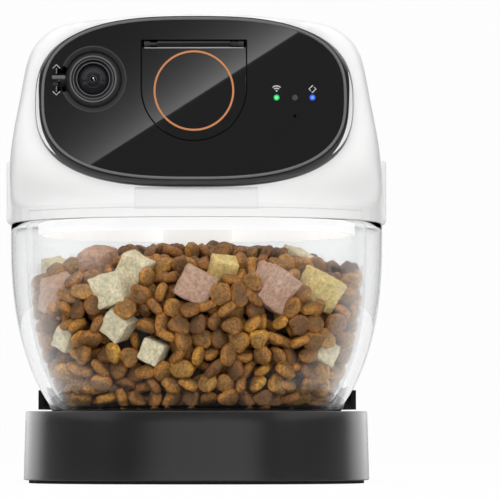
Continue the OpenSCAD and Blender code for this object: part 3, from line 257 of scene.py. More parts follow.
MAT = {
    "white": material("white_plastic", (0.89, 0.89, 0.888), 0.32, drift=0.006, grain=0.03),
    "frost": material("frosted_plastic", (0.85, 0.85, 0.848), 0.42, drift=0.008, grain=0.05),
    # The inner plastic glows a little: painted light that lifts the shade under and inside the head.
    "floor": material("inner_plastic_painted_glow", (0.86, 0.86, 0.855), 0.5, drift=0.015, emission_strength=0.6),
    "base": material("satin_black", (0.0105, 0.0105, 0.011), 0.4, drift=0.05, grain=0.1, grain_scale=3200,
                     coat_weight=0.8, coat_roughness=0.25, specular_ior_level=0.25),
    "inner": material("matte_black", (0.028, 0.028, 0.03), 0.6, drift=0.06),
    "gloss": material("piano_black", (0.0145, 0.0145, 0.015), 0.012, drift=0.04, grain=0.0,
                      rough_drift=0.006),
    "housing": material("soft_black", (0.011, 0.011, 0.0115), 0.34, drift=0.04, grain=0.0,
                        specular_ior_level=0.22),
    # Near-black of the painted shade in the gap around the door.
    "gap": material("painted_gap_shade", (0.003, 0.003, 0.003), 0.8, drift=0.04, grain=0.0,
                    specular_ior_level=0.1),
    "ball": material("fine_black", (0.04, 0.04, 0.041), 0.52, drift=0.05, grain=0.1),
    "bezel": material("satin_grey_line", (0.135, 0.137, 0.14), 0.34, drift=0.04, grain=0.03),
    "ring": material("turned_graphite", (0.12, 0.12, 0.124), 0.34, drift=0.06, grain=0.04),
    "lens_black": material("lens_black", (0.007, 0.007, 0.008), 0.3, drift=0.05, grain=0.0),
    "lens": material("coated_lens", (0.014, 0.014, 0.017), 0.2, drift=0.1, grain=0.0,
                     specular_ior_level=0.3),
    "pupil": material("lens_depth", (0.0015, 0.0015, 0.006), 0.05, drift=0.05, grain=0.0),
    # Pale discs on the lens: painted highlights.
    "glint": material("painted_lens_highlight", (0.62, 0.65, 0.8), 0.3, drift=0.02, grain=0.0),
    "tick": material("printed_grey", (0.36, 0.36, 0.37), 0.5, drift=0.02, grain=0.0),
    # Grey of the painted shadow in the groove around the head.
    "groove_shadow": material("groove_shadow_grey", (0.74, 0.74, 0.745), 0.5, drift=0.01, grain=0.0),
    # Grey of the painted shade of the inner parts seen through the head's shell.
    "see_through_shade": material("see_through_shade_grey", (0.82, 0.82, 0.823), 0.45, drift=0.01, grain=0.0),
    "copper": material("satin_orange", (0.53, 0.205, 0.075), 0.4, drift=0.02, grain=0.02),
    "lever": material("satin_grey", (0.115, 0.117, 0.12), 0.4, drift=0.03),
    # Light grey of the painted highlight on the door's upper edge.
    "edge_line": material("painted_edge_highlight", (0.5, 0.5, 0.5), 0.3, drift=0.03, grain=0.0),
    "seal": material("silicone", (0.8, 0.81, 0.815), 0.62, drift=0.03),
    "rubber": material("rubber", (0.012, 0.012, 0.013), 0.75, drift=0.08, grain=0.25),
    "steel": material("steel", (0.5, 0.51, 0.53), 0.32, drift=0.06, grain=0.05, metallic=1.0),
    "sheet": material("aluminium", (0.56, 0.57, 0.58), 0.38, drift=0.06, grain=0.08, metallic=1.0),
    "brass": material("brass", (0.66, 0.47, 0.21), 0.33, drift=0.06, metallic=1.0),
    "can": material("motor_can", (0.4, 0.41, 0.43), 0.42, drift=0.08, metallic=0.85),
    "nylon": material("nylon", (0.72, 0.68, 0.57), 0.48, drift=0.04),
    "board": material("solder_mask", (0.02, 0.13, 0.055), 0.35, drift=0.12, drift_scale=90),
    "sensor": material("smoked", (0.06, 0.062, 0.07), 0.15, drift=0.04, grain=0.0),
    "mic": material("mesh_grey", (0.05, 0.05, 0.052), 0.7, drift=0.1),
    "print": material("pale_print", (0.55, 0.55, 0.56), 0.5, drift=0.03, grain=0.0),
    "green": material("green_light", (0.02, 0.46, 0.1), 0.25, grain=0.0, emission_strength=0.35),
    "blue": material("blue_light", (0.03, 0.1, 0.62), 0.25, grain=0.0, emission_strength=0.4),
    "green_core": material("green_core", (0.16, 0.8, 0.3), 0.25, grain=0.0, emission_strength=0.5),
    "blue_core": material("blue_core", (0.1, 0.25, 0.85), 0.25, grain=0.0, emission_strength=0.5),
    "bowl": clear_material("clear_shell", (0.975, 0.979, 0.98)),
    "bin": clear_material("clear_bin", (0.982, 0.985, 0.986)),
    "kibble": speckled(baked_food(material("kibble", RIM_TONES[1], 0.6, drift=0.22, drift_scale=170,
                                           grain=0.3)), (0.07, 0.032, 0.016), 0.75, 720, 0.8),
}
CUBE_TONES = {"cream": (0.9, 0.8, 0.54), "pink": (0.66, 0.42, 0.3), "yellow": (0.88, 0.68, 0.27)}
for label, tone in CUBE_TONES.items():
    MAT["cube_" + label] = speckled(
        material("cube_" + label, tone, 0.85, drift=0.14, drift_scale=160, grain=0.4),
        tuple(0.5 * c for c in tone), 0.75, 560, 1.0)


# --- mesh helpers


def mesh_object(name, verts, faces, scale=MM):
    """An object in the scene from points and faces."""
    mesh = bpy.data.meshes.new(name)
    mesh.from_pydata([tuple(c * scale for c in v) for v in verts], [], [tuple(f) for f in faces])
    obj = bpy.data.objects.new(name, mesh)
    bpy.context.scene.collection.objects.link(obj)
    return obj


def face_outwards(mesh):
    work = bmesh.new()
    work.from_mesh(mesh)
    bmesh.ops.recalc_face_normals(work, faces=work.faces)
    work.to_mesh(mesh)
    work.free()


def finish_piece(obj, mat, body, nodes=(), sharp=32):
    """Shades a piece, with edges sharper than the given angle kept, gives it its material and body, and hides
    the CAD nodes it stands in for.
    """
    mesh = obj.data
    face_outwards(mesh)
    mesh.shade_smooth()
    if sharp:
        mesh.set_sharp_from_angle(angle=math.radians(sharp))
    mesh.materials.clear()
    mesh.materials.append(MAT[mat])
    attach(obj, body)
    if nodes:
        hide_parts(*nodes)


def place(name, verts, faces, mat, body, slot, nodes=(), sharp=32, thick=0):
    """A finished piece from points in mm. Thick turns a sheet into a plate that reaches back in Y."""
    obj = mesh_object(name, verts, faces)
    mesh = obj.data
    mesh.validate()
    if thick:
        work = bmesh.new()
        work.from_mesh(mesh)
        made = bmesh.ops.extrude_face_region(work, geom=work.faces[:])
        for vert in (g for g in made["geom"] if isinstance(g, bmesh.types.BMVert)):
            vert.co.y += thick * MM
        work.to_mesh(mesh)
        work.free()
    finish_piece(obj, mat, body, nodes, sharp)
    return obj


def plain(name, verts, faces):
    """A helper solid in mm that isn't a piece."""
    obj = mesh_object(name, verts, faces)
    face_outwards(obj.data)
    return obj


def loft(rings, cap_start=False, cap_end=False, closed=True, base=0):
    """Points and quads through rings of as many points each."""
    n = len(rings[0])
    verts = [p for r in rings for p in r]
    faces = []
    for k in range(len(rings) - 1):
        for i in range(n if closed else n - 1):
            a, b = base + k * n + i, base + k * n + (i + 1) % n
            faces.append((a, b, b + n, a + n))
    if cap_start:
        faces.append(tuple(base + i for i in range(n)))
    if cap_end:
        faces.append(tuple(base + len(verts) - n + i for i in range(n)))
    return verts, faces


def solid(rings):
    """Closed body through rings, with both ends capped."""
    return loft(rings, True, True)


def hoop(rings):
    """Closed tube whose last ring meets the first."""
    return loft(rings + [rings[0]])


def joined(parts):
    """Points and faces of several parts as one."""
    verts, faces = [], []
    for v, f in parts:
        faces += [tuple(i + len(verts) for i in face) for face in f]
        verts += v
    return verts, faces


def moved_back(part, dy):
    """Points and faces of a part, moved in Y."""
    verts, faces = part
    return [(x, y + dy, z) for x, y, z in verts], faces


def circle(u, v, r, count):
    """Points on a circle, anticlockwise."""
    turns = [2 * math.pi * i / count for i in range(count)]
    return [(u + r * math.cos(a), v + r * math.sin(a)) for a in turns]


def superellipse(half_w, half_h, n, count):
    """Outline points, anticlockwise."""
    out = []
    for i in range(count):
        t = 2 * math.pi * i / count
        r = (abs(math.cos(t) / half_w) ** n + abs(math.sin(t) / half_h) ** n) ** (-1 / n)
        out.append((r * math.cos(t), r * math.sin(t)))
    return out


def plan_ring(half_w, half_d, z, n=ROUND, count=160):
    return [(x, y, z) for x, y in superellipse(half_w, half_d, n, count)]


def panel_ring(half_w, half_h, y, z, count=160):
    """Panel-shaped ring at depth y, centred at height z."""
    return [(x, y, z + h) for x, h in superellipse(half_w, half_h, PANEL_SQUARE, count)]


def turned(profile, centre, count=96):
    """Rings about the line of sight: profile holds (radius, distance towards the front)."""
    return [[(x, centre[1] - d, z) for x, z in circle(centre[0], centre[2], r, count)] for r, d in profile]


def rounded_outline(y_half, z0, z1, r, steps=6):
    """Rectangle in Y and Z with rounded corners."""
    y, low, high, out = y_half - r, z0 + r, z1 - r, []
    spots = [(y, high, 0), (-y, high, 90), (-y, low, 180), (y, low, 270)]
    for y, z, start in spots:
        turns = [math.radians(start + 90 * k / steps) for k in range(steps + 1)]
        out += [(y + r * math.cos(a), z + r * math.sin(a)) for a in turns]
    return out


def rounded_block(x0, x1, *outline):
    """Block along X with a rounded outline."""
    return solid([[(x, y, z) for y, z in rounded_outline(*outline)] for x in (x0, x1)])


def cut(obj, cutters):
    """Takes the cutters out of a piece and applies the result."""
    for tool in cutters:
        change = obj.modifiers.new("cut", "BOOLEAN")
        change.operation, change.solver, change.object = "DIFFERENCE", "EXACT", tool
    graph = bpy.context.evaluated_depsgraph_get()
    mesh = bpy.data.meshes.new_from_object(obj.evaluated_get(graph))
    obj.modifiers.clear()
    obj.data = mesh
    for tool in cutters:
        bpy.data.objects.remove(tool)


def smooth_step(u, a, b):
    t = max(0.0, min(1.0, (u - a) / (b - a)))
    return t * t * (3 - 2 * t)


# --- head shells

HEAD_TAPER, HEAD_RISE, HEAD_CROWN, HEAD_SQUARE = 0.095, 10, 0.5, 12
HEAD_ARC, CROWN_U, LAST_U = 96, 0.93, 0.9985
FRONT_D = RIM_D / 2
EDGE_U = (PANEL_Z + PANEL_H / 2 + PANEL_RIM - RIM_Z) / (HEAD_TOP - RIM_Z)
FOOT_U = (SKIRT_TOP_Z - RIM_Z) / (HEAD_TOP - RIM_Z)


def head_side(u):
    """Half width of the head at share u of its height."""
    narrow = ((1 - math.cos(math.pi * min(u / 0.75, 1))) / 2) ** 1.4
    return RIM_W / 2 * (1 - HEAD_TAPER * narrow) * (1 - u**HEAD_RISE) ** HEAD_CROWN


def head_front(u):
    """How far the head's front reaches forwards."""
    sink, lean, lean_u = 2.2, 0.035, 0.035
    depth = FRONT_D - sink * smooth_step(u, 0.1, 0.4)
    depth *= 1 - lean * smooth_step(u, EDGE_U - lean_u, EDGE_U)
    return depth * (1 if u < EDGE_U else ((1 - u) / (1 - EDGE_U)) ** 0.8)


def head_rear(u):
    """How far the head's rear reaches back."""
    return FRONT_D * (1 - u**3.2) ** 0.3846


def front_square(u):
    """How square the head's front half is."""
    swell = smooth_step(u, 0.07, 0.5) - smooth_step(u, EDGE_U - 0.07, EDGE_U)
    return ROUND + (HEAD_SQUARE - ROUND) * swell


def head_arc(u, inset, rear, count):
    """Half ring of the head at share u of its height."""
    z = RIM_Z + u * (HEAD_TOP - RIM_Z)
    z = SKIRT_TOP_Z + (z - SKIRT_TOP_Z) * (HEAD_TOP - inset - SKIRT_TOP_Z) / (HEAD_TOP - SKIRT_TOP_Z)
    limit = FRONT_D - (FRONT_D - REAR_FLAT) * smooth_step(u, FOOT_U, FOOT_U + 0.07)
    half_w = head_side(u) - inset
    depth = (head_rear(u) if rear else head_front(u)) - inset
    n = ROUND if rear else front_square(u)
    out = []
    for i in range(count + 1):
        t = (0 if rear else math.pi) + math.pi * i / count
        r = (abs(math.cos(t) / half_w) ** n + abs(math.sin(t) / depth) ** n) ** (-1 / n)
        y = r * math.sin(t)
        if rear:
            y = min(y, limit - inset)
        out.append((r * math.cos(t), y, z))
    return out


def head_half(name, rear):
    """One closed half of the head's shell."""
    steps = [FOOT_U + (CROWN_U - FOOT_U) * k / 44 for k in range(45)]
    steps += [CROWN_U + (LAST_U - CROWN_U) * math.sin(math.pi / 2 * k / 22) for k in range(1, 23)]
    outer, faces = loft([head_arc(u, 0, rear, HEAD_ARC) for u in steps], closed=False)
    base, n = len(outer), HEAD_ARC + 1
    inner, more = loft([head_arc(u, HEAD_WALL, rear, HEAD_ARC) for u in steps], closed=False, base=base)
    last = base - n
    faces += more
    faces += [(i, i + 1, base + i + 1, base + i) for i in range(n - 1)]
    for side in (0, n - 1):
        faces += [(k + side, k + n + side, base + k + n + side, base + k + side) for k in range(0, last, n)]
    faces += [tuple(first + i for i in range(n)) for first in (last, base + last)]
    faces.append((last + n - 1, last, base + last, base + last + n - 1))
    return plain(name, outer + inner, faces)


def panel_cutter(grow, y0, y1):
    """Block of the panel housing's foot between two depths."""
    rings = [panel_ring(FOOT_W / 2 + grow, FOOT_H / 2 + grow, y, FOOT_Z) for y in (y0, y1)]
    return plain("panel_cutter", *solid(rings))


def window_cutters():
    """Cutters of the two release buttons' windows in the shells."""
    inner, outer, below, corner = 50, 110, 8, 4
    outline = (RELEASE_HALF + CLEAR, RIM_Z - below, RELEASE_TOP_Z + CLEAR, corner)
    return [plain("window_cutter", *rounded_block(x0, x1, *outline))
            for x0, x1 in ((-outer, -inner), (inner, outer))]


front = head_half("head_front_cover", False)
cut(front, [panel_cutter(CLEAR, -PANEL_FRONT - 10, -FRONT_D + 18)] + window_cutters())
finish_piece(front, "white", "head", ["head_front_shell"])
rear = head_half("head_rear_cover", True)


def box_cutter(x0, x1, y0, y1, z0, z1):
    corners = [(x, y, z) for x in (x0, x1) for y in (y0, y1) for z in (z0, z1)]
    faces = [(0, 1, 3, 2), (4, 6, 7, 5), (0, 4, 5, 1), (2, 3, 7, 6), (0, 2, 6, 4), (1, 5, 7, 3)]
    return plain("box_cutter", corners, faces)


def rear_cutters():
    """Speaker slots, power inlet and reset hole in the rear wall."""
    y0, y1 = REAR_FLAT - HEAD_WALL - 1, REAR_FLAT + 1
    pitch, reach, half_slot, gap, hole_r = 3.5, 11, 0.9, 0.2, 2.9
    speaker_x, _, speaker_z = node_middle("speaker")
    out = []
    for k in range(-3, 4):
        half = math.sqrt(reach**2 - (pitch * k) ** 2)
        x = speaker_x + pitch * k
        out.append(box_cutter(x - half_slot, x + half_slot, y0, y1, speaker_z - half, speaker_z + half))
    low, high = node_box("power_socket")
    out.append(box_cutter(low[0] - gap, high[0] + gap, y0, y1, low[2] - gap, high[2] + gap))
    reset_x, _, reset_z = node_middle("reset_button")
    hole = circle(reset_x, reset_z, hole_r, 48)
    out.append(plain("reset_cutter", *solid([[(x, y, z) for x, z in hole] for y in (y0, y1)])))
    return out


cut(rear, window_cutters() + rear_cutters())
finish_piece(rear, "white", "head", ["head_rear_shell"])


# --- release buttons


def release_button(s, body, node):
    """Pad with a softened edge, proud of the head, on its stem."""
    face = RIM_W / 2 + BUTTON_PROUD
    back = face - BUTTON_T
    low, high, corner = RIM_Z + 0.35, RELEASE_TOP_Z, 3.6
    stem_reach, stem_half, stem_low, stem_high = 12, 6, SKIRT_TOP_Z + 5.5, SKIRT_TOP_Z + 13.5
    rings = []
    for x, inset in ((back, 0), (face - 1.0, 0), (face - 0.35, 0.3), (face, 1.1)):
        outline = rounded_outline(RELEASE_HALF - inset, low + inset, high - inset, corner - inset * 0.5)
        rings.append([(s * x, y, z) for y, z in outline])
    stem = sorted((s * (RIM_W / 2 - stem_reach), s * (back + 0.1)))
    parts = [solid(rings), rounded_block(*stem, stem_half, stem_low, stem_high, 1)]
    place(node + "_pad", *joined(parts), "white", body, "button_white", [node])


release_button(-1, "left_release", "release_left")
release_button(1, "right_release", "release_right")


# --- skirt, hopper and bin


def hopper_half(z):
    """Half width and half depth of the hopper's outside at a height."""
    drop = max(0, (RIM_Z - z) / (RIM_Z - SEAT_Z)) ** HOPPER_CURVE
    return RIM_W / 2 - (RIM_W - HOPPER_FOOT_W) / 2 * drop, RIM_D / 2 - (RIM_D - HOPPER_FOOT_D) / 2 * drop


BIN_W = RIM_W - 2 * (HOPPER_WALL + BIN_GAP)
BIN_D = RIM_D - 2 * (HOPPER_WALL + BIN_GAP)
BIN_FOOT_W = HOPPER_FOOT_W - 2 * (HOPPER_WALL + BIN_FOOT_GAP)
BIN_FOOT_D = HOPPER_FOOT_D - 2 * (HOPPER_WALL + BIN_FOOT_GAP)


def bin_half(z):
    """Half width and half depth of the bin's outside at a height."""
    drop = max(0, (BIN_RIM_Z - z) / (BIN_RIM_Z - BOWL_FLOOR_Z)) ** BIN_CURVE
    return BIN_W / 2 - (BIN_W - BIN_FOOT_W) / 2 * drop, BIN_D / 2 - (BIN_D - BIN_FOOT_D) / 2 * drop


def vessel(name, half, z0, floor_z, z1, wall, foot_inset, mat, slot, node):
    """Open vessel with a rounded foot and a rounded rim."""
    steps = 30

    def ring(z, inset):
        w, d = half(z)
        return plan_ring(w - inset, d - inset, z)

    rings = [ring(z0, foot_inset + 3), ring(z0, foot_inset), ring(z0 + 0.4, foot_inset * 0.45)]
    rings += [ring(z0 + 1.2 + (z1 - z0 - 1.8) * k / steps, 0) for k in range(steps + 1)]
    rings += [ring(z1 - 0.15, 0.25), ring(z1, 0.6), ring(z1, wall - 0.6), ring(z1 - 0.15, wall - 0.25)]
    rings += [ring(z1 - 0.6 + (floor_z + 1.2 - z1 + 0.6) * k / steps, wall) for k in range(steps + 1)]
    rings += [ring(floor_z + 0.3, wall + 0.9), ring(floor_z, wall + foot_inset + 1)]
    place(name, *solid(rings), mat, "stand", slot, [node])


vessel("clear_bowl", hopper_half, SEAT_Z, BOWL_FLOOR_Z, RIM_Z, HOPPER_WALL, 1.4,
       "bowl", "clear_shell", "hopper_bowl")
vessel("clear_bin_wall", bin_half, BOWL_FLOOR_Z, BIN_FLOOR_Z, BIN_RIM_Z, BIN_WALL, 2,
       "bin", "clear_bin", "treat_bin")


# --- treats

RNG = np.random.default_rng(7)
HEAP_FRONT_Z, HEAP_REAR_Z, HEAP_TOP_Z = 105.5, 119, 127.5
HEAP_LEAN = 8
TREAT_R, TREAT_THICK = 5.0, 0.47


def heap_top(x, y):
    """Height of the treats' surface: low at the front wall, highest just behind the middle."""
    edge = HEAP_FRONT_Z + (HEAP_REAR_Z - HEAP_FRONT_Z) * (y + BIN_D / 2) / BIN_D
    w, d = bin_half(HEAP_FRONT_Z)
    s = np.minimum(1, (np.abs(x / w) ** ROUND + np.abs((y - HEAP_LEAN) / d) ** ROUND) ** (1 / ROUND))
    return edge + (HEAP_TOP_Z - edge) * (1 - s**2)


def bin_room(z, inset):
    """Half sizes of the bin's inner wall less the inset, at any heights."""
    drop = np.maximum(0, (BIN_RIM_Z - z) / (BIN_RIM_Z - BOWL_FLOOR_Z)) ** BIN_CURVE
    w = BIN_W / 2 - (BIN_W - BIN_FOOT_W) / 2 * drop - BIN_WALL - inset
    d = BIN_D / 2 - (BIN_D - BIN_FOOT_D) / 2 * drop - BIN_WALL - inset
    return w, d


def wall_share(p, inset):
    """1 on the bin's inner wall less the inset, and less inside it."""
    w, d = bin_room(p[:, 2], inset)
    return (np.abs(p[:, 0] / w) ** ROUND + np.abs(p[:, 1] / d) ** ROUND) ** (1 / ROUND)


# Freeze-dried cubes: across, height, edge, how far behind the front wall, turn, tip and tone
CUBES = [
    (-78, 114, 14, 30, 20, 10, "cream"), (-52, 117, 17, 24, 8, 20, "pink"),
    (-71, 100, 18, 0, 24, 15, "pink"), (-42.5, 102, 19, 0, -14, 0, "cream"),
    (-32, 113, 16, 10, 30, 10, "cream"), (-40, 84, 13, 0, 40, 10, "cream"),
    (-67, 77, 12, 0, 25, 0, "cream"), (-21.5, 70, 13, 0, 25, 5, "cream"),
    (0.5, 104, 18.5, 0, 28, 5, "pink"), (14.5, 113, 13, 12, 8, 30, "yellow"),
    (40, 103.5, 20, 0, 32, 12, "pink"), (54, 119, 15, 66, 10, 25, "cream"),
    (65, 103, 19, 0, 18, 25, "yellow"), (66, 70.5, 13, 0, 25, 5, "cream"),
]
CUBE_GAP = 2.4


def turn_about(axis, degrees):
    """Matrix of a turn about X, Y or Z."""
    c, s = math.cos(math.radians(degrees)), math.sin(math.radians(degrees))
    i, j = [(1, 2), (2, 0), (0, 1)]["XYZ".index(axis)]
    m = np.eye(3)
    m[i, i], m[j, j], m[i, j], m[j, i] = c, c, -s, s
    return m


def cube_places():
    """Centre and turn of each cube, one face towards the wall in front of it."""
    out = []
    for x, z, edge, behind, turn, tip, _ in CUBES:
        w, d = bin_half(z)
        room = CUBE_GAP + 0.7 * edge
        side, deep = w - room, d - room
        x = math.copysign(min(abs(x), 0.97 * side), x)
        y = -deep * (1 - (abs(x) / side) ** ROUND) ** (1 / ROUND) + behind
        facing = math.degrees(math.atan(1.4 * x * deep / side**2))
        matrix = turn_about("Z", facing) @ turn_about("X", tip) @ turn_about("Y", turn)
        out.append((np.array([x, y, z]), matrix))
    return out


def packed_places(cubes):
    """Centres of the treats, pushed apart until they rest beside each other inside the bin."""
    # They start in close-packed layers, of which only the outer ones are kept
    step, layer, row, jitter, kept_depth = TREAT_R * 1.9, 0.816, 0.866, 1.1, 22
    spots = []
    for k, z in enumerate(np.arange(BIN_FLOOR_Z + TREAT_R, HEAP_TOP_Z + 4, step * layer)):
        for j, y in enumerate(np.arange(-BIN_D / 2, BIN_D / 2, step * row)):
            for x in np.arange(-BIN_W / 2, BIN_W / 2, step):
                spots.append((x + step / 2 * (j % 2) + step / 3 * (k % 2), y + step * 0.29 * (k % 2), z))
    p = np.array(spots) + RNG.normal(0, jitter, (len(spots), 3))
    share = wall_share(p, TREAT_R)
    w, d = bin_room(p[:, 2], TREAT_R)
    top = heap_top(p[:, 0], p[:, 1])
    depth = np.minimum((1 - share) * np.minimum(w, d), top - p[:, 2])
    p = p[(share < 1.02) & (p[:, 2] < top - 0.4 * TREAT_R) & (depth < kept_depth)]
    spots = np.array([c for c, _ in cubes])
    radius = np.array([c[2] * 0.6 for c in CUBES])
    near = np.linalg.norm(p[:, None] - spots[None], axis=2) < radius[None] + TREAT_R * 0.35
    p = p[~near.any(axis=1)]
    quick_rounds, full_rounds = 10, 45
    for _ in range(full_rounds):
        gap = p[:, None] - p[None]
        dist = np.linalg.norm(gap, axis=2) + np.eye(len(p)) * 99
        push = np.maximum(0, 1.84 * TREAT_R - dist) / dist
        p = p + 0.28 * (gap * push[..., None]).sum(axis=1)
        gap = p[:, None] - spots[None]
        dist = np.linalg.norm(gap, axis=2)
        push = np.maximum(0, radius[None] + TREAT_R * 0.75 - dist) / dist
        p = p + 0.6 * (gap * push[..., None]).sum(axis=1)
        over = np.maximum(1, wall_share(p, TREAT_R * 0.8))
        p[:, :2] /= over[:, None]
        top = heap_top(p[:, 0], p[:, 1]) - 0.4 * TREAT_R
        p[:, 2] = np.clip(p[:, 2], BIN_FLOOR_Z + TREAT_R * 0.9, np.maximum(top, BIN_FLOOR_Z + TREAT_R))
        tube = p[:, :2] - np.array([0, LIFT_Y])
        far = np.linalg.norm(tube, axis=1)
        keep_out = RISER_OUT_R + TREAT_R
        inside = far < keep_out
        p[inside, :2] = np.array([0, LIFT_Y]) + tube[inside] * (keep_out / far[inside])[:, None]
    return p


def treat_shape(kind, seed):
    """Points, faces and crust of one pressed biscuit of radius 1: round, three-sided, long or a heart."""
    rng = random.Random(seed)
    lobes, depth, long = {"round": (5, 0.02, 1.0), "tri": (3, 0.12, 1.0), "oval": (2, 0.1, 1.06),
                          "heart": (1, 0.0, 1.0)}[kind]
    shift = [rng.uniform(0, 6.28) for _ in range(6)]
    count, levels, edge = 26, 12, 3.1
    verts, crust = [], []
    for k in range(1, levels):
        b = -math.pi / 2 + math.pi * k / levels
        out, up = math.cos(b) ** (2 / edge), math.copysign(abs(math.sin(b)) ** (2 / edge), b)
        for i in range(count):
            a = 2 * math.pi * i / count
            grow = 1 + depth * math.cos(lobes * a + shift[0]) + 0.03 * math.cos(2 * a + shift[1])
            if kind == "heart":
                notch = math.exp(-((a - math.pi) / 0.38) ** 2)
                point = math.exp(-(min(a, 6.283 - a) / 0.5) ** 2)
                grow = 1.04 - 0.3 * notch + 0.1 * point
            x, y = out * math.cos(a) * grow * long, out * math.sin(a) * grow
            lump = 1 + 0.03 * math.sin(5 * x + shift[2]) + 0.025 * math.sin(6 * y + 4 * up + shift[3])
            crown = 1 + 0.1 * (1 - out**2)
            verts.append((x * lump, y * lump, up * TREAT_THICK * crown * lump))
            crust.append(smooth_step(out, 0.72, 0.93))
    rings = levels - 1
    faces = [(k + i, k + (i + 1) % count, k + count + (i + 1) % count, k + count + i)
             for k in range(0, (rings - 1) * count, count) for i in range(count)]
    for ring, level in ((0, -1), (rings - 1, 1)):
        verts.append((0, 0, level * TREAT_THICK * 1.1))
        crust.append(0)
        faces += [(ring * count + i, ring * count + (i + 1) % count, len(verts) - 1, len(verts) - 1)
                  for i in range(count)]
    return np.array(verts), np.array(faces), np.array(crust)


def cube_shape(seed):
    """Points and faces of a rough freeze-dried cube of edge 1."""
    work = bmesh.new()
    bmesh.ops.create_cube(work, size=1)
    bmesh.ops.subdivide_edges(work, edges=work.edges, cuts=17, use_grid_fill=True)
    rng = random.Random(seed)
    shift = Vector([rng.uniform(0, 40) for _ in range(3)])
    sizes = [rng.uniform(0.9, 1.06) for _ in range(3)]
    for v in work.verts:
        c = v.co
        soft = sum(abs(k * 2) ** 16 for k in c) ** (1 / 16)
        c = c / max(soft, 1e-6) * max(abs(k * 2) for k in c)
        c = Vector((c.x * sizes[0], c.y * sizes[1], c.z * sizes[2]))
        rough = noise.fractal(c * 8 + shift, 0.8, 2.0, 4) * 0.04 + noise.noise(c * 2.2 + shift) * 0.07
        v.co = c * (1 + rough)
    work.verts.index_update()
    verts = np.array([tuple(v.co) for v in work.verts])
    faces = [[v.index for v in f.verts] for f in work.faces]
    work.free()
    return verts, np.array(faces)


def scatter(name, pieces, mat, nodes=()):
    """One mesh of many treats: each piece holds points, faces and its point values by name."""
    base, faces = 0, []
    for verts, piece_faces, _ in pieces:
        faces += [tuple(dict.fromkeys(f)) for f in (piece_faces + base).tolist()]
        base += len(verts)
    verts = np.concatenate([v for v, _, _ in pieces]).tolist()
    made = place(name, verts, faces, mat, "stand", "kibble", nodes, sharp=0)
    for key in pieces[0][2]:
        values = np.concatenate([extra[key] for _, _, extra in pieces])
        made.data.attributes.new(key, "FLOAT", "POINT").data.foreach_set("value", values.astype(np.float32))


def turn_matrix(rng):
    """A random turn."""
    q = rng.normal(size=4)
    q /= np.linalg.norm(q)
    w, x, y, z = q
    return np.array([[1 - 2 * (y * y + z * z), 2 * (x * y - z * w), 2 * (x * z + y * w)],
                     [2 * (x * y + z * w), 1 - 2 * (x * x + z * z), 2 * (y * z - x * w)],
                     [2 * (x * z - y * w), 2 * (y * z + x * w), 1 - 2 * (x * x + y * y)]])


def fit_to_wall(points, centre):
    """Slides a treat along the wall's slope until it's inside, and out to the wall if it lies next to it."""
    moved = points + centre
    for _ in range(3):
        share = wall_share(moved, 0.3).max()
        if share > 0.93:
            moved[:, :2] += centre[:2] * (1 / share - 1)
    return moved


def make_treats():
    """Kibble and cubes in the bin."""
    cubes = cube_places()
    kinds = ["round", "tri", "oval", "tri", "heart", "round"]
    shapes = [treat_shape(kind, i) for i, kind in enumerate(kinds)]
    pieces = []
    for centre in packed_places(cubes):
        verts, faces, crust = shapes[RNG.integers(len(shapes))]
        size = TREAT_R * RNG.uniform(0.98, 1.18)
        moved = fit_to_wall(verts @ (turn_matrix(RNG) * size).T, centre)
        tone = np.full(len(verts), np.clip(RNG.normal(0.5, 0.24), 0, 1))
        # Painted shade: pieces further back are mixed more towards grey.
        dull = np.full(len(verts), 0.75 * smooth_step(centre[1], -30, 20))
        pieces.append((moved, faces, {"tone": tone, "crust": crust, "dull": dull}))
    scatter("treats_kibble", pieces, "kibble", ["treat_fill"])
    for tone in CUBE_TONES:
        pieces = []
        for i, (spec, (centre, turn)) in enumerate(zip(CUBES, cubes)):
            if spec[6] == tone:
                verts, faces = cube_shape(i)
                pieces.append((verts @ (turn * spec[2]).T + centre, faces, {}))
        scatter("cubes_" + tone, pieces, "cube_" + tone)
    core()


def core():
    """Dark heap inside, so that no light passes between the treats: painted shade that stands in for the
    treats deep in the pile.
    """
    inset, top_z, cover = 17, 86, 9

    def ring(z):
        w, d = bin_half(z)
        return plan_ring(w - inset, d - inset, z, count=96)

    rings = [ring(BIN_FLOOR_Z + 1 + (top_z - BIN_FLOOR_Z) * k / 8) for k in range(9)]
    for s in (0.86, 0.7, 0.5, 0.25):
        rings.append([(x * s, y * s, float(heap_top(np.float64(x * s), np.float64(y * s))) - cover)
                      for x, y, _ in ring(top_z)])
    place("treats_core", *solid(rings), "inner", "stand", "kibble")


make_treats()


# --- base

BASE_LOW, BASE_HIGH = node_box("base_shell")
BASE_W, BASE_D = BASE_HIGH[0] - BASE_LOW[0], BASE_HIGH[1] - BASE_LOW[1]
BASE_SQUARE, BASE_DRAFT, BASE_WALL, BASE_COUNT = 2.6, 1, 2.6, 256
# The satin body stops this far below the CAD shell's top
BASE_TRIM = 1.2


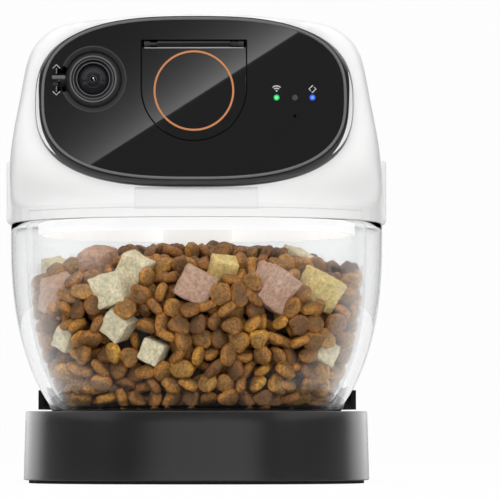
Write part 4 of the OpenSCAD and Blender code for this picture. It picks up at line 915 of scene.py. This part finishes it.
def base_cover():
    """Satin body of the base, hollow below, with the hopper's seat in its top."""
    low, high = BASE_LOW[2], BASE_HIGH[2] - BASE_TRIM
    side, deep = hopper_half(high)

    def ring(inset, z):
        return plan_ring(BASE_W / 2 - inset, BASE_D / 2 - inset, z, BASE_SQUARE, BASE_COUNT)

    def seat(gap, z):
        return plan_ring(side + gap, deep + gap, z, ROUND, BASE_COUNT)

    hollow = BASE_DRAFT + BASE_WALL + 1
    rings = [ring(hollow, SEAT_Z - BASE_WALL), ring(hollow, low), ring(1.0, low), ring(0.35, low + 0.15),
             ring(0.0, low + 0.6)]
    rings += [ring(BASE_DRAFT * k / 6, low + 0.6 + (high - 1.4 - low) * k / 6) for k in range(1, 7)]
    rings += [ring(BASE_DRAFT + 0.12, high - 0.42), ring(BASE_DRAFT + 0.42, high - 0.12),
              ring(BASE_DRAFT + 0.9, high)]
    rings += [seat(CLEAR + 0.5, high), seat(CLEAR, high - 0.5), seat(CLEAR, SEAT_Z - 0.05)]
    return place("base_cover", *solid(rings), "base", "stand", "base_black", ["base_shell"])


BASE_COVER = base_cover()


# --- face panel

FLARE_BACK, HOUSING_BACK, HOUSING_WALL = -76, -57, 2.4


def housing_ring(s_out):
    """Half width, half height, depth and height of the flared wall, at share s_out of the way to the face."""
    ease = s_out**1.7
    w = FOOT_W / 2 + (PANEL_W / 2 - FOOT_W / 2) * ease
    h = FOOT_H / 2 + (PANEL_H / 2 - FOOT_H / 2) * ease
    y = FLARE_BACK - (PANEL_FRONT + FLARE_BACK) * s_out
    return w, h, y, FOOT_Z + (PANEL_Z - FOOT_Z) * ease


def panel_housing():
    """Flared black housing from its foot to the face."""
    sizes = [(FOOT_W / 2, FOOT_H / 2, y, FOOT_Z) for y in (HOUSING_BACK, -66, -70)]
    sizes += [housing_ring(k / 18) for k in range(19)]
    lip = [(0.25, -PANEL_FRONT - 0.15), (0.45, -PANEL_FRONT - 0.2), (0.5, -PANEL_FRONT + 2),
           (HOUSING_WALL, -PANEL_FRONT + 2), (HOUSING_WALL, HOUSING_BACK)]
    sizes += [(PANEL_W / 2 - d, PANEL_H / 2 - d, y, PANEL_Z) for d, y in lip]
    rings = [panel_ring(*size, 200) for size in sizes]
    place("panel_housing", *hoop(rings), "housing", "head", "panel_black", ["panel_body"])


def painted_reflection_crescents():
    """Bright white crescents in both sides of the housing: painted reflection of the bright studio in its
    glossy side walls.
    """
    count, middle, half, share = 36, PANEL_Z - 7.5, 21.5, 0.52
    for side, name in ((-1, "painted_reflection_left"), (1, "painted_reflection_right")):
        rings = []
        for k in range(count + 1):
            v = -1 + 2 * k / count
            z = middle + half * v
            reach = 0.32 * (1 - v * v) ** 0.8 + 0.004
            ring = []
            for off, out in ((-reach, -0.12), (-reach, 0.05), (0, 0.07), (reach, 0.05), (reach, -0.12)):
                w, h, y, zc = housing_ring(share + off)
                x = w * (1 - abs((z - zc) / h) ** PANEL_SQUARE) ** (1 / PANEL_SQUARE)
                ring.append((side * (x + out), y, z))
            rings.append(ring)
        # White crescent: painted reflection of the bright studio on the housing's side.
        place(name, *solid(rings), "white", "head", "white_head")


panel_housing()
painted_reflection_crescents()


def panel_frame():
    """Satin line around the window."""
    profile = [(0.5, -83.0), (0.52, -85.12), (0.75, -85.34), (1.15, -85.38), (1.55, -85.34), (1.8, -85.14),
               (2.0, -84.9), (2.0, -83.0)]
    rings = [panel_ring(PANEL_W / 2 - d, PANEL_H / 2 - d, y, PANEL_Z, 240) for d, y in profile]
    place("panel_frame", *hoop(rings), "bezel", "head", "bezel_grey", ["panel_bezel"], sharp=0)


panel_frame()


# --- camera


def turned_piece(name, profile, mat, body, slot, nodes=()):
    """A ring turned about the camera's axis."""
    place(name, *hoop(turned(profile, CAMERA)), mat, body, slot, nodes, sharp=50)


def camera_front():
    """Trim rings around the lens, the lens and what shows on it: the pupil and two painted highlights."""
    f, lens, outer = BALL_FACE, LENS_D / 2, RINGS_D / 2
    well = [(lens - 0.05, f - 3.5), (outer - 1.5, f - 3.5), (outer - 1.5, f + 0.01), (outer - 0.1, f + 0.01),
            (outer - 0.1, f + 0.12), (outer - 1.2, f + 0.12), (outer - 1.5, f - 0.25), (lens + 0.4, f - 0.5),
            (lens - 0.05, f - 0.5)]
    turned_piece("camera_well", well, "lens_black", "camera", "ring_graphite", ["camera_rings"])
    lips = {"outer": (outer - 0.78, outer, f, 0.5), "middle": (outer - 1.95, outer - 1.45, f - 0.4, 0.42),
            "inner": (lens - 0.25, lens + 0.3, f - 0.6, 0.75)}
    for label, (r0, r1, base, rise) in lips.items():
        soft, side, top = (r1 - r0) * 0.28, base + rise * 0.75, base + rise
        lip = [(r0, base), (r0 + 0.02, side), (r0 + soft, top), (r1 - soft, top), (r1 - 0.02, side),
               (r1, base)]
        turned_piece("camera_lip_" + label, lip, "ring", "camera", "ring_graphite")
    bulge, rim, steps = 3.2, lens - 0.28, 24
    curve = (rim**2 + bulge**2) / (2 * bulge)

    def dome(r, lift=0.0):
        return f - 2.4 + bulge - curve + math.sqrt(curve**2 - r**2) + lift

    radii = [rim * math.sin(math.pi / 2 * k / steps) for k in range(1, steps + 1)]
    parts = [loft(turned([(r, dome(r)) for r in radii], CAMERA), True),
             loft(turned([(rim, dome(rim)), (rim, f - 3.2)], CAMERA), cap_end=True)]
    place("lens_dome", *joined(parts), "lens", "camera", "lens_glass", ["lens_glass"])
    for label, r0, r1 in (("iris", 1.5, 1.9), ("stop", 4.3, 4.5)):
        ring = [(r0, dome(r0, -0.1)), (r0, dome(r0, 0.02)), (r1, dome(r1, 0.02)), (r1, dome(r1, -0.1))]
        turned_piece("lens_" + label, ring, "ball", "camera", "lens_black")
    # The two glints are painted highlights: small pale discs on the lens's dome.
    for label, dx, dz, r, lift, mat in (("pupil", 0, 0, 1.5, 0.03, "pupil"),
                                        ("glint_high", 0.1, 0.45, 0.42, 0.06, "glint"),
                                        ("glint_low", 0.45, -0.55, 0.25, 0.06, "glint")):
        spot, far = (CAMERA[0] + dx, CAMERA[1], CAMERA[2] + dz), math.hypot(dx, dz)
        profile = [(r * q, dome(far + r * q, lift)) for q in (0.1, 0.5, 1)] + [(r, dome(far + r, -0.2))]
        place("lens_" + label, *solid(turned(profile, spot, 32)), mat, "camera", "lens_black")


camera_front()


def camera_collar():
    """Dark funnel between the window and the ball, open where the lever passes."""
    profile = [(17.3, -84.6), (17.35, -85.06), (16.7, -85.06), (14.7, -82.6), (14.9, -82.3)]
    half_turn, steps = 156, 96
    turns = [math.radians(-half_turn + 2 * half_turn * k / steps) for k in range(steps + 1)]
    rings = [[(CAMERA[0] + r * math.cos(a), y, CAMERA[2] + r * math.sin(a)) for r, y in profile]
             for a in turns]
    place("camera_collar", *solid(rings), "ball", "head", "ring_graphite", sharp=50)


camera_collar()


def door_line():
    """Slim rounded orange ring on the toss door."""
    low, high = node_box("door_ring")
    r, y, z = (high[0] - low[0]) / 2, low[1], (low[2] + high[2]) / 2
    profile = [(r - 1.12, y + 0.5), (r - 1.12, y + 0.12), (r - 0.95, y), (r - 0.25, y), (r - 0.08, y + 0.12),
               (r - 0.08, y + 0.5)]
    rings = [[(u, depth, v) for u, v in circle(0, z, q, 160)] for q, depth in profile]
    place("door_line", *hoop(rings), "copper", "door", "ring_copper", ["door_ring"], sharp=50)


door_line()


def tilt_lever():
    """Thumb bar of the tilt lever on its dark arm and hub, and a dark strip over the window's slot."""
    low, high = node_box("tilt_lever")
    left, front, right, height = low[0], low[1], high[0], CAMERA[2]
    half, long, soft, hub_r = 1.0, 7, 0.35, 4.4
    mid_y, mid_z = front + half, height + 0.6
    edge = [(y + mid_y, z) for y, z in rounded_outline(half, height - 0.35, height + 1.55, 0.75)]
    tip = [(y + (mid_y - y) * soft, z + (mid_z - z) * soft) for y, z in edge]
    rings = [[(left + dx, y, z) for y, z in ring]
             for dx, ring in ((0, tip), (soft, edge), (long - soft, edge), (long, tip))]
    place("tilt_bar", *solid(rings), "lever", "camera", "lever_grey", ["tilt_lever"])
    hub = solid([[(x, y, z) for y, z in circle(CAMERA[1], height, hub_r, 40)] for x in (right - 4.6, right)])
    # The arm is a real part; where it shows black below the thumb bar it is painted shade under the bar.
    arm = moved_back(rounded_block(left + 3.0, left + 4.2, 6.4, height - 1.5, height + 0.3, 0.4), front + 7.3)
    place("tilt_arm", *joined([hub, arm]), "ball", "camera", "lever_grey")
    strip = rounded_block(left + 0.2, left + 2.8, 0.41, height - 7.2, height + 7.2, 0.1)
    place("lever_mask", *moved_back(strip, 0.38 - PANEL_FRONT), "gloss", "head", "window_black")


tilt_lever()


# --- printed marks

MARK_Y, MARK_T = -PANEL_FRONT - 0.04, 0.1
DOOR_TOP_Z = 226.7


def ribbon(points, width):
    """Flat strip along points (x, z) on the panel's face."""
    verts, last = [], len(points) - 1
    for i, (x, z) in enumerate(points):
        a, b = points[max(i - 1, 0)], points[min(i + 1, last)]
        dx, dz = b[0] - a[0], b[1] - a[1]
        half = width / 2 / (math.hypot(dx, dz) or 1)
        verts += [(x - dz * half, MARK_Y, z + dx * half), (x + dz * half, MARK_Y, z - dx * half)]
    return verts, [(2 * i, 2 * i + 1, 2 * i + 3, 2 * i + 2) for i in range(last)]


def disc(x, z, r, count=24):
    """Flat disc on the panel's face."""
    return [(u, MARK_Y, v) for u, v in circle(x, z, r, count)], [tuple(range(count))]


def arc_points(x, z, r, a0, a1, count=14):
    """Points (x, z) along an arc between two angles in degrees."""
    turns = [math.radians(a0 + (a1 - a0) * i / count) for i in range(count + 1)]
    return [(x + r * math.cos(a), z + r * math.sin(a)) for a in turns]


def marks():
    """Signal fan, small diamond, tilt arrows with their dotted lines, and the lamps' bright cores."""
    lamps = {colour: node_middle("lamp_" + colour) for colour in ("green", "blue")}
    gx, bx, icon_z = lamps["green"][0], lamps["blue"][0], lamps["green"][2] + 4.1
    parts = [ribbon(arc_points(gx, icon_z - 1.0, r, 46, 134), 0.6) for r in (1.75, 2.95)]
    parts.append(disc(gx, icon_z - 0.6, 0.5))
    z, wide = icon_z + 0.3, 1.8
    for s in (-1, 1):
        parts.append(ribbon([(bx + s * (wide - 1.45), z + s * 1.45), (bx, z + s * wide), (bx - s * wide, z),
                             (bx - s * (wide - 0.95), z - s * 0.95)], 0.52))
    place("panel_marks", *joined(parts), "print", "head", "bezel_grey", sharp=0, thick=MARK_T)
    x, wing, parts = node_box("tilt_lever")[0][0] + 2.1, 1.95, []
    for s in (-1, 1):
        top = CAMERA[2] + s * 7.9 - 0.4
        parts.append(ribbon([(x - wing, top - s * wing), (x, top), (x + wing, top - s * wing)], 0.6))
        parts += [disc(x, top - s * d, 0.3, 12) for d in (2.2, 3.2, 4.2)]
    place("tilt_marks", *joined(parts), "tick", "head", "bezel_grey", sharp=0, thick=MARK_T)
    for colour, (x, _, z) in lamps.items():
        front, name = node_box("lamp_" + colour)[0][1], colour + "_core"
        verts = [(u, front - 0.03, v) for u, v in circle(x, z, 0.75, 24)]
        place(name, verts, [tuple(range(24))], name, "head", "lamp_" + colour, thick=MARK_T)


def door_outline():
    """Black line around the door's opening, painted shade of the gap around the door, and a painted highlight
    along the door's upper edge.
    """
    low, high = node_box("toss_door")
    r = (high[0] - low[0]) / 2
    line, ends = r + 0.42, DOOR_TOP_Z + 3.7
    path = [(-line, ends)] + arc_points(0, low[2] + r, line, 180, 360, 60) + [(line, ends)]
    # Painted shade: a flat black line where the gap around the door lies in shade.
    place("door_outline", *ribbon(path, 0.78), "gap", "head", "inner_black", sharp=0, thick=MARK_T)
    # Painted highlight: a light strip along the door's upper edge where it catches the light.
    edge = [(x, DOOR_TOP_Z - 0.22) for x in (-r + 1.1, r - 1.1)]
    place("door_edge", *ribbon(edge, 0.36), "edge_line", "door", "bezel_grey", sharp=0, thick=MARK_T)


marks()
door_outline()


def head_patch(name, z0, z1, x0, x1, mat, steps=1):
    """Thin patch of painted shade that follows the head's front between two heights and two sides."""
    verts, faces, count = [], [], 120
    for k in range(steps + 1):
        u = (z0 + (z1 - z0) * k / steps - RIM_Z) / (HEAD_TOP - RIM_Z)
        arc = np.array(head_arc(u, -0.05, False, 600))
        arc = arc[np.argsort(arc[:, 0])]
        xs = np.linspace(x0, x1, count + 1)
        ys = np.interp(xs, arc[:, 0], arc[:, 1])
        verts += [(float(x), float(y), float(arc[0, 2])) for x, y in zip(xs, ys)]
    for k in range(steps):
        a, b = k * (count + 1), (k + 1) * (count + 1)
        faces += [(a + i, a + i + 1, b + i + 1, b + i) for i in range(count)]
    place(name, verts, faces, mat, "head", "white_head", sharp=0, thick=0.12)


# Greyer patch low on the front: painted shade of the inner parts seen through the thin shell.
head_patch("painted_see_through_shade", 143.4, 154.4, -31, 33.3, "see_through_shade", 6)
# Thin grey line round the head: painted shadow of the groove above the skirt.
head_patch("painted_groove_shadow", 143.9, 144.4, -88, 88, "groove_shadow")


# --- carried-over CAD nodes

NODE_FINISH = {
    "base": ["base_cradle"],
    "inner": ["base_bottom_plate", "panel_carrier", "door_throat", "camera_bracket", "speaker", "door_pin",
              "door_spring"],
    "rubber": ["base_foot_pad"],
    "seal": ["hopper_seal"],
    "steel": ["base_ballast", "base_screws", "hopper_screws", "panel_screws", "toss_shaft", "toss_spring",
              "camera_pins", "power_socket", "release_springs"],
    "floor": ["head_floor", "riser_tube", "riser_cap", "lift_screw", "toss_chute", "toss_arm"],
    "frost": ["head_skirt"],
    "nylon": ["lift_gear", "toss_sector"],
    "brass": ["lift_pinion", "toss_pinion"],
    "can": ["lift_motor", "toss_motor"],
    "sheet": ["toss_frame"],
    "gloss": ["panel_window", "toss_door"],
    "ball": ["camera_ball"],
    "lens_black": ["lens_barrel"],
    "board": ["camera_board", "indicator_board", "main_board", "port_board"],
    "green": ["lamp_green"],
    "blue": ["lamp_blue"],
    "sensor": ["light_sensor"],
    "mic": ["microphone"],
    "white": ["reset_button"],
}
for finish, names in NODE_FINISH.items():
    for name in names:
        for part_slot in NODES[name].material_slots:
            part_slot.material = MAT[finish]


# --- studio


def echo_share(tree, rays, coordinates, near, far):
    """1 for light from the front that glass has thrown back inside itself, which veils what it holds."""
    echo = math_out(tree, "MULTIPLY", rays["Is Transmission Ray"], rays["Glossy Depth"], clamp=True)
    where = shader_node(tree, "SeparateXYZ", {0: shader_node(tree, "TexCoord").outputs[coordinates]})
    front = shader_node(tree, "MapRange", {"Value": where.outputs["Y"], "From Min": near, "From Max": far})
    return math_out(tree, "MULTIPLY", echo, front.outputs["Result"])


def stage_floor():
    """Pale floor that sweeps up into a backdrop. The view and clear plastic see it nearly white."""
    front, depth, height, bend, side = -4.0, 3.0, 4.0, 1.2, 4.0
    pale, dull, seen_white = 0.93, 0.9, 0.95
    profile = [(front, 0.0), (depth - bend, 0.0)]
    profile += [(depth - bend + bend * math.sin(a), bend - bend * math.cos(a))
                for a in (math.pi / 2 * k / 12 for k in range(1, 13))]
    profile.append((depth, height))
    verts = [(x, y, z) for y, z in profile for x in (-side, side)]
    faces = [(2 * i, 2 * i + 1, 2 * i + 3, 2 * i + 2) for i in range(len(profile) - 1)]
    floor = mesh_object("studio_floor", verts, faces, 1)
    floor.data.shade_smooth()
    mat, tree, shader = new_material("studio_white")
    shader.inputs["Base Color"].default_value = (*[pale] * 3, 1)
    shader.inputs["Roughness"].default_value = dull
    rays = shader_node(tree, "LightPath").outputs
    seen = math_out(tree, "MAXIMUM", rays["Is Camera Ray"], rays["Is Transmission Ray"])
    glow = shader_node(tree, "Emission", {"Color": (1, 1, 1, 1)})
    lit = mixed(tree, math_out(tree, "MULTIPLY", seen, seen_white), shader, glow)
    dark = shader_node(tree, "Emission", {"Strength": 0})
    near, far = 0.06, -0.14
    veil = mixed(tree, echo_share(tree, rays, "Object", near, far), lit, dark)
    tree.links.new(veil.outputs[0], tree.nodes["Material Output"].inputs["Surface"])
    floor.data.materials.append(mat)


def area_light(name, spot, size, power):
    """A square light aimed at the product's middle, which gloss doesn't show."""
    middle = Vector((0, 0, 0.13))
    lamp = bpy.data.lights.new(name, "AREA")
    lamp.energy = power
    lamp.size = size
    obj = bpy.data.objects.new(name, lamp)
    obj.location = spot
    obj.rotation_euler = (middle - Vector(spot)).to_track_quat("-Z", "Y").to_euler()
    obj.visible_glossy = False
    bpy.context.scene.collection.objects.link(obj)


def card(name, corners, light=0.0, only=None):
    """A flat card that only gloss shows: black where it has no light. A lit one can be kept to one piece."""
    obj = mesh_object(name, corners, [range(len(corners))], 1)
    mat, tree, shader = new_material(name)
    tree.nodes.remove(shader)
    glow = shader_node(tree, "Emission", {"Strength": light})
    tree.links.new(glow.outputs[0], tree.nodes["Material Output"].inputs["Surface"])
    obj.data.materials.append(mat)
    obj.visible_camera = False
    obj.visible_diffuse = False
    obj.visible_transmission = False
    obj.visible_shadow = False
    if only:
        lit = bpy.data.collections.new(name + "_receivers")
        lit.objects.link(only)
        obj.light_linking.receiver_collection = lit
    return tree


def slanted_softbox():
    """Its slanted lower edge crosses the face panel; it fades away from that edge and to the left."""
    y, slope, level, reach = -2.0, 0.64, 0.3958, 0.03
    left, right, top = -0.7, 0.5, 1.3
    dim_x, bright_x, dim, bright = -0.215, -0.015, 1.2, 3.3
    tree = card("slanted_softbox", [(left, y, level + slope * left), (right, y, level + slope * right),
                                    (right, y, top), (left, y, top)])
    where = shader_node(tree, "SeparateXYZ", {0: shader_node(tree, "TexCoord").outputs["Object"]}).outputs
    height = math_out(tree, "MULTIPLY_ADD", where["X"], -slope, where["Z"])
    fall = math_out(tree, "EXPONENT", math_out(tree, "MULTIPLY_ADD", height, -1 / reach, level / reach))
    side = shader_node(tree, "MapRange", {"Value": where["X"], "From Min": dim_x, "From Max": bright_x,
                                          "To Min": dim, "To Max": bright})
    strength = math_out(tree, "MULTIPLY", fall, side.outputs["Result"])
    tree.links.new(strength, tree.nodes["Emission"].inputs["Strength"])


def flags():
    """Dark cards around the front, that keep black parts black, and lit cards that show in the base."""
    far, wide, side_back, side_top, high = -2.3, 1.3, 0.3, 0.3, 1.6
    card("front_flag", [(-wide, far, 0), (wide, far, 0), (wide, far, high), (-wide, far, high)])
    for s, name in ((-1, "left_flag"), (1, "right_flag")):
        card(name, [(s * wide, far, 0), (s * wide, side_back, 0), (s * wide, side_back, side_top),
                    (s * wide, far, side_top)])
    near, reach, lift = -0.1, 0.5, 0.001
    card("table_flag", [(-reach, far, lift), (reach, far, lift), (reach, near, lift), (-reach, near, lift)])
    low, top = 0.0, 0.3
    for name, y, half, light in (("low_softbox", far + 0.1, 0.26, 1.9),
                                 ("wide_softbox", far + 0.05, 0.78, 2.2)):
        card(name, [(-half, y, low), (half, y, low), (half, y, top), (-half, y, top)], light, BASE_COVER)
    side, near_back, back = 0.8, 0.3, 2.9
    for s, name in ((-1, "left_rim_card"), (1, "right_rim_card")):
        card(name, [(s * side, near_back, low), (s * side, back, low), (s * side, back, 2 * top),
                    (s * side, near_back, 2 * top)], 2.0, BASE_COVER)


def world():
    """Even white light, at full strength where gloss or clear plastic shows it."""
    made = bpy.data.worlds.new("studio_world")
    bpy.context.scene.world = made
    made.use_nodes = True
    tree = made.node_tree
    background = tree.nodes["Background"].inputs
    background["Color"].default_value = (1, 0.998, 0.995, 1)
    rays = shader_node(tree, "LightPath").outputs
    seen = math_out(tree, "MAXIMUM", rays["Is Glossy Ray"], rays["Is Transmission Ray"])
    plain_level, seen_level, near, far = 0.55, 1.0, -0.55, -0.85
    level = shader_node(tree, "MapRange", {"Value": seen, "To Min": plain_level, "To Max": seen_level})
    clear = math_out(tree, "SUBTRACT", 1, echo_share(tree, rays, "Generated", near, far))
    tree.links.new(math_out(tree, "MULTIPLY", level.outputs["Result"], clear), background["Strength"])


def studio():
    """Floor, world, cards, lights and the camera."""
    stage_floor()
    world()
    slanted_softbox()
    flags()
    area_light("key", (-0.7, -2.0, 1.3), 1.4, 17)
    area_light("fill", (0.9, -1.9, 0.9), 1.2, 10)
    area_light("top", (0.0, 0.1, 2.2), 1.6, 12)
    scene = bpy.context.scene
    scene.view_settings.view_transform = "Standard"
    # 270 mm across at the middle of the product, from 2 m away, a little above the table
    distance, eye_x, eye_z, aim_z, across, shift, film = 2.0, 0.034, 0.026, 0.1256, 0.27, 0.0288, 36
    lens = bpy.data.cameras.new("camera")
    lens.sensor_width = film
    lens.lens = film * distance / across
    lens.shift_x = shift / across
    view = bpy.data.objects.new("camera", lens)
    view.location = (eye_x, -distance, eye_z)
    view.rotation_euler = (Vector((0, 0, aim_z)) - view.location).to_track_quat("-Z", "Y").to_euler()
    scene.collection.objects.link(view)
    scene.camera = view


studio()
